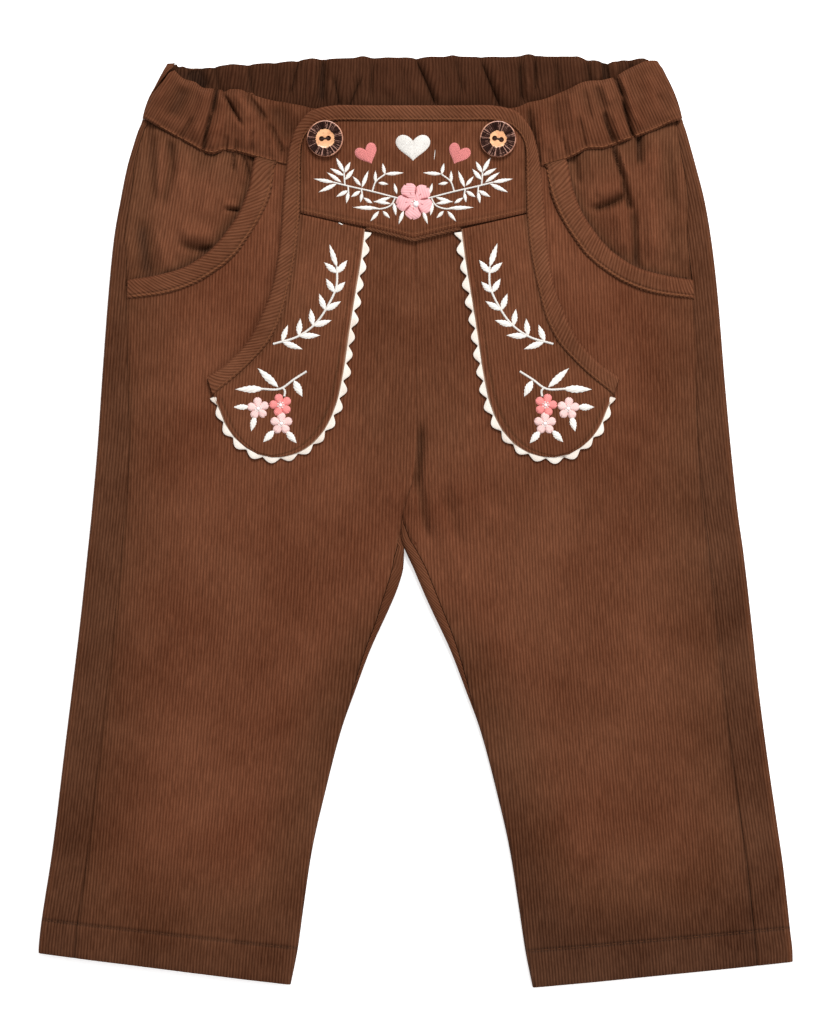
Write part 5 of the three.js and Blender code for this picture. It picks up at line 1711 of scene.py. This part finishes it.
def heart(name, x, y, width, height, turn, colour):
    """A satin-stitched heart, a little hollow along its middle line."""
    def form(u, v):
        around = u * 2 * math.pi
        rough = 1 + 0.012 * np.sin(around * 46) * v
        side = 0.5 * np.sign(np.sin(around)) * np.abs(np.sin(around)) ** 2.3
        up = sum(share * np.cos(k * around) for k, share in enumerate((13, -5, -2, -1), 1)) / 29 + 0.09
        flat_x, flat_y = side * width * v * rough, up * height * v * rough
        dome = 0.62 * (1 - v**5) ** 0.7 - 0.16 * bell(flat_x, 0.5) * (v < 0.9)
        across, along = turned(flat_x, flat_y, math.radians(turn))
        z = flap_height(x + across, y + along) + dome
        weave = 1.2 * together(flat_y + 0.35 * np.abs(flat_x), flat_x)
        return together(x + across, y + along, z), weave, 0 * z

    piece = grid(f"embroidered_heart_{name}", 96, 14, form)
    in_edit_mode(piece, lambda: bpy.ops.mesh.remove_doubles(threshold=2e-6))
    face_out(piece)
    finish(piece, "cotton_braid", finish_named(f"{colour} thread"))


def leafwork():
    """The garlands, the sprigs and the leaves of the sprays, with their stems."""
    leaves = [laid_frame(x, y + UPPER_LIFT, turn, length, 0.84 * width, 0.5)
              for x, y, turn, length, width in mirrored(GARLAND_LEAVES)]
    for share, inner, inner_length, outer, outer_length in SPRIG_PAIRS:
        root = along_path(SPRIG_STEM, share)
        pair = [(*root, inner, inner_length, 2.6), (*root, outer, outer_length, 2.55)]
        leaves += [laid_frame(x, y + UPPER_LIFT, *rest, 0.6) for x, y, *rest in mirrored(pair)]
    leaves += [laid_frame(*leaf, 0.6) for leaf in mirrored([SPRIG_TIP_LEAF] + SPRAY_LEAVES)]
    stems = []
    for n, points in enumerate(GARLAND_STEMS + [SPRIG_STEM] + SPRAY_STEMS):
        for sign in (1, -1):
            line = [(FLAP_CENTRE_X + sign * x, y + UPPER_LIFT * (y > UPPER_Y)) for x, y in points]
            stems.append(stem(f"stem_{n}_{sign}", line, 0.72 if n < len(GARLAND_STEMS) else 0.95))
    shape = leaf_shape()
    sewn("embroidered_leaves", shape, leaves, "white thread")
    remove(shape)
    finish(join("embroidered_stems", stems), "cotton_braid", finish_named("white thread"))


def flowers():
    """Five petals each, round a pearl in a ring of knots. The yoke's large one has its petals
    outlined."""
    petals, knots, pearls, outlines = {"rose": [], "blush": [], "coral": []}, [], [], []
    for x, y, turn, size, colour in [YOKE_FLOWER, *mirrored(SPRAY_FLOWERS)]:
        large = size > 6
        for angle in (turn + 360 / PETALS * k for k in range(PETALS)):
            petals[colour].append(laid_frame(x, y, angle, size, size * (0.92 if large else 0.8), 0.8))
            if large:
                for lean in (-1, 1):
                    root = outwards(x, y, angle + 36 + lean * 1.8, 2.2)
                    outlines.append(laid_frame(*root, angle + 36 + lean * 2.7, 4.2, 0.42, 1.0))
                outlines.append(laid_frame(*outwards(x, y, angle, 2.4), angle, 2.6, 0.4, 1.15))
        ring, reach, drop = (8, 1.5, 1.5) if large else (7, 0.26 * size, 0)
        knots += [laid_frame(*outwards(x, y - drop, 360 * k / ring, reach), 0, *[0.85] * 3, lift=0.55)
                  for k in range(ring)]
        pearls.append(laid_frame(x + 0.4 * drop, y - drop, 0, *[2.6 if large else 1.6] * 3, lift=0.55))
    petal, leaf, stitch = petal_shape(), leaf_shape(), stitch_shape()
    for colour, frames in petals.items():
        sewn(f"embroidered_petals_{colour}", petal, frames, f"{colour} thread")
    sewn("petal_outlines", leaf, outlines, "outline thread")
    sewn("flower_knots", stitch, knots, "white thread")
    sewn("stray_threads", stitch, [laid_frame(*stray) for stray in STRAY_THREADS], "white thread")
    bead = added(bpy.ops.mesh.primitive_uv_sphere_add, "bead", segments=16, ring_count=10, radius=0.5)
    sewn("flower_pearls", bead, pearls, "pearl")
    for shape in (petal, leaf, stitch, bead):
        remove(shape)


# ---------------------------------------------------------------- the studio
FLOOR_SIZE, FLOOR_GAP = 6.0, 0.0003
AIR_STRENGTH = 0.52
SOFTBOXES = (                           # name, place, width and watts
    ("overhead softbox", (0.15, 1.05, 1.15), 0.6, 21.0),
    ("right softbox", (1.2, -0.2, 1.1), 0.8, 9.0),
)
CAMERA_PLACE, CAMERA_LENS, CAMERA_SENSOR = (0.00044, 0.0022, 1.8956), 150, 36


def stage():
    floor = added(bpy.ops.mesh.primitive_plane_add, "studio_floor", size=FLOOR_SIZE,
                  location=(0, 0, -FLOOR_GAP))
    bpy.ops.object.transform_apply(location=True, rotation=True, scale=True)
    floor.data.materials.append(finish_named("studio paper"))

    world = bpy.data.worlds.new("studio air")
    world.use_nodes = True
    air = world.node_tree.nodes["Background"].inputs
    air["Color"].default_value, air["Strength"].default_value = (1, 1, 1, 1), AIR_STRENGTH
    bpy.context.scene.world = world

    for name, place, size, watts in SOFTBOXES:
        light = added(bpy.ops.object.light_add, name, type="AREA", location=place)
        light.data.shape, light.data.size, light.data.energy = "DISK", size, watts
        light.rotation_mode = "QUATERNION"
        light.rotation_quaternion = (-light.location).to_track_quat("-Z", "Y")

    camera = added(bpy.ops.object.camera_add, "studio camera",
                   location=CAMERA_PLACE, rotation=(0, 0, 0))
    camera.data.lens, camera.data.sensor_width = CAMERA_LENS, CAMERA_SENSOR
    bpy.context.scene.camera = camera
    bpy.context.scene.view_settings.view_transform = "Standard"


# ---------------------------------------------------------------- what a user may change
def length_property(name, description, default, low, high, precision=4):
    return bpy.props.FloatProperty(
        name=name, description=description, default=default, min=low, max=high,
        unit="LENGTH", precision=precision)


def colour_property(name, description, default):
    return bpy.props.FloatVectorProperty(
        name=name, description=description, default=default, size=3, min=0, max=1, subtype="COLOR")


class TrousersSizes(bpy.types.PropertyGroup):
    cloth: length_property(
        "Panel cloth", "Thickness of the corduroy of the legs", 0.0013, 0.0005, 0.0025)
    band_cloth: length_property(
        "Band cloth", "Thickness of the gathered waistband", 0.0022, 0.001, 0.003)
    flap_cloth: length_property(
        "Flap cloth", "Thickness of the flap and its binding", 0.0013, 0.0005, 0.0016)
    wale_pitch: length_property(
        "Wale pitch", "From one rib of the corduroy to the next", 0.00135, 0.0008, 0.004, precision=5)
    crease_depth: bpy.props.FloatProperty(
        name="Crease depth", description="How deep the creases are, as a share of those placed by hand",
        default=1.0, min=0.0, max=1.5, subtype="FACTOR")
    ricrac_pitch: length_property(
        "Ric-rac pitch", "From one wave of the braid to the next", 0.0078, 0.005, 0.012)
    stitch_pitch: length_property(
        "Stitch pitch", "From one stitch of a seam to the next", 0.0021, 0.0015, 0.004)


class TrousersColours(bpy.types.PropertyGroup):
    corduroy: colour_property("Corduroy", "The cloth of the panels", paint(100, 52.2, 31))
    bias: colour_property(
        "Bias strips", "The bindings, the cord and the hip pieces", paint(104, 57, 35.5))
    seam_thread: colour_property("Seam thread", "The thread of the seams", paint(122, 76, 50))
    braid: colour_property("Ric-rac", "The scalloped braid", paint(244, 236, 226))
    white_thread: colour_property(
        "White thread", "Leaves, stems and the large heart", paint(240, 235, 228))
    rose_thread: colour_property("Rose thread", "The flower of the yoke", paint(234, 172, 174))
    blush_thread: colour_property(
        "Blush thread", "The paler flowers of the wings", paint(243, 203, 198))
    coral_thread: colour_property(
        "Coral thread", "The darker flowers and the small hearts", paint(240, 142, 138))
    floor: colour_property("Floor", "The studio floor", paint(250, 250, 250))


def pattern():
    return bpy.context.scene.trousers_sizes


def palette():
    return bpy.context.scene.trousers_colours


class TROUSERS_OT_front_panels(bpy.types.Operator):
    """Make the two front leg panels, with the creases of the hips and legs"""
    bl_idname = "trousers.front_panels"
    bl_label = "Front panels"

    def execute(self, context):
        for side in SIDES:
            front_panel(side)
        return {"FINISHED"}


class TROUSERS_OT_back_panels(bpy.types.Operator):
    """Make the two back leg panels, which turn over the outline and show at the side seams"""
    bl_idname = "trousers.back_panels"
    bl_label = "Back panels"

    def execute(self, context):
        for side in SIDES:
            back_panel(side)
        return {"FINISHED"}


class TROUSERS_OT_waistband(bpy.types.Operator):
    """Make the elastic waistband: the front over the hips and the back, whose inside shows"""
    bl_idname = "trousers.waistband"
    bl_label = "Waistband"

    def execute(self, context):
        front_band()
        back_band()
        return {"FINISHED"}


class TROUSERS_OT_pockets(bpy.types.Operator):
    """Make the hip pieces behind the pocket mouths and the bias bindings round the mouths"""
    bl_idname = "trousers.pockets"
    bl_label = "Pockets"

    def execute(self, context):
        for side in SIDES:
            pocket_bag(side)
            pocket_binding(side)
        return {"FINISHED"}


class TROUSERS_OT_flap(bpy.types.Operator):
    """Make the buttoned front flap: its yoke, its two wings, its binding and the cord of its hem"""
    bl_idname = "trousers.flap"
    bl_label = "Flap"

    def execute(self, context):
        flap_yoke()
        for side in SIDES:
            flap_wing(side)
        flap_binding()
        yoke_piping()
        return {"FINISHED"}


class TROUSERS_OT_ricrac(bpy.types.Operator):
    """Make the scalloped braid behind the free edges of the wings"""
    bl_idname = "trousers.ricrac"
    bl_label = "Ric-rac"

    def execute(self, context):
        for side in SIDES:
            ricrac(side)
        return {"FINISHED"}


class TROUSERS_OT_buttons(bpy.types.Operator):
    """Make the two coconut buttons with their thread"""
    bl_idname = "trousers.buttons"
    bl_label = "Buttons"

    def execute(self, context):
        for side in SIDES:
            button(side)
        return {"FINISHED"}


class TROUSERS_OT_topstitching(bpy.types.Operator):
    """Make the rows of stitches along the seams, bindings and hems"""
    bl_idname = "trousers.topstitching"
    bl_label = "Topstitching"

    def execute(self, context):
        topstitching()
        return {"FINISHED"}


class TROUSERS_OT_embroidery(bpy.types.Operator):
    """Make the hearts, leaves and flowers embroidered on the flap, all in raised stitches"""
    bl_idname = "trousers.embroidery"
    bl_label = "Embroidery"

    def execute(self, context):
        leafwork()
        for row in HEARTS:
            heart(*row)
        flowers()
        return {"FINISHED"}


class TROUSERS_OT_studio(bpy.types.Operator):
    """Set up the pale floor, the soft lights and the camera above it"""
    bl_idname = "trousers.studio"
    bl_label = "Studio"

    def execute(self, context):
        stage()
        return {"FINISHED"}


OPERATORS = (
    TROUSERS_OT_front_panels, TROUSERS_OT_back_panels, TROUSERS_OT_waistband, TROUSERS_OT_pockets,
    TROUSERS_OT_flap, TROUSERS_OT_ricrac, TROUSERS_OT_buttons, TROUSERS_OT_topstitching,
    TROUSERS_OT_embroidery, TROUSERS_OT_studio,
)


class TROUSERS_PT_panel(bpy.types.Panel):
    """The sizes, the colours and the steps of making the trousers"""
    bl_idname = "TROUSERS_PT_panel"
    bl_label = "Trousers"
    bl_space_type = "VIEW_3D"
    bl_region_type = "UI"
    bl_category = "Trousers"

    def draw(self, context):
        for settings in (context.scene.trousers_sizes, context.scene.trousers_colours):
            box = self.layout.box()
            for name in settings.__annotations__:
                box.prop(settings, name)
        for step in OPERATORS:
            self.layout.operator(step.bl_idname)


CLASSES = (TrousersSizes, TrousersColours, *OPERATORS, TROUSERS_PT_panel)


def register():
    for kind in CLASSES:
        bpy.utils.register_class(kind)
    bpy.types.Scene.trousers_sizes = bpy.props.PointerProperty(type=TrousersSizes)
    bpy.types.Scene.trousers_colours = bpy.props.PointerProperty(type=TrousersColours)


def unregister():
    del bpy.types.Scene.trousers_colours
    del bpy.types.Scene.trousers_sizes
    for kind in reversed(CLASSES):
        bpy.utils.unregister_class(kind)


def main():
    register()
    for step in OPERATORS:
        group, name = step.bl_idname.split(".")
        getattr(getattr(bpy.ops, group), name)()


if __name__ == "__main__":
    main()
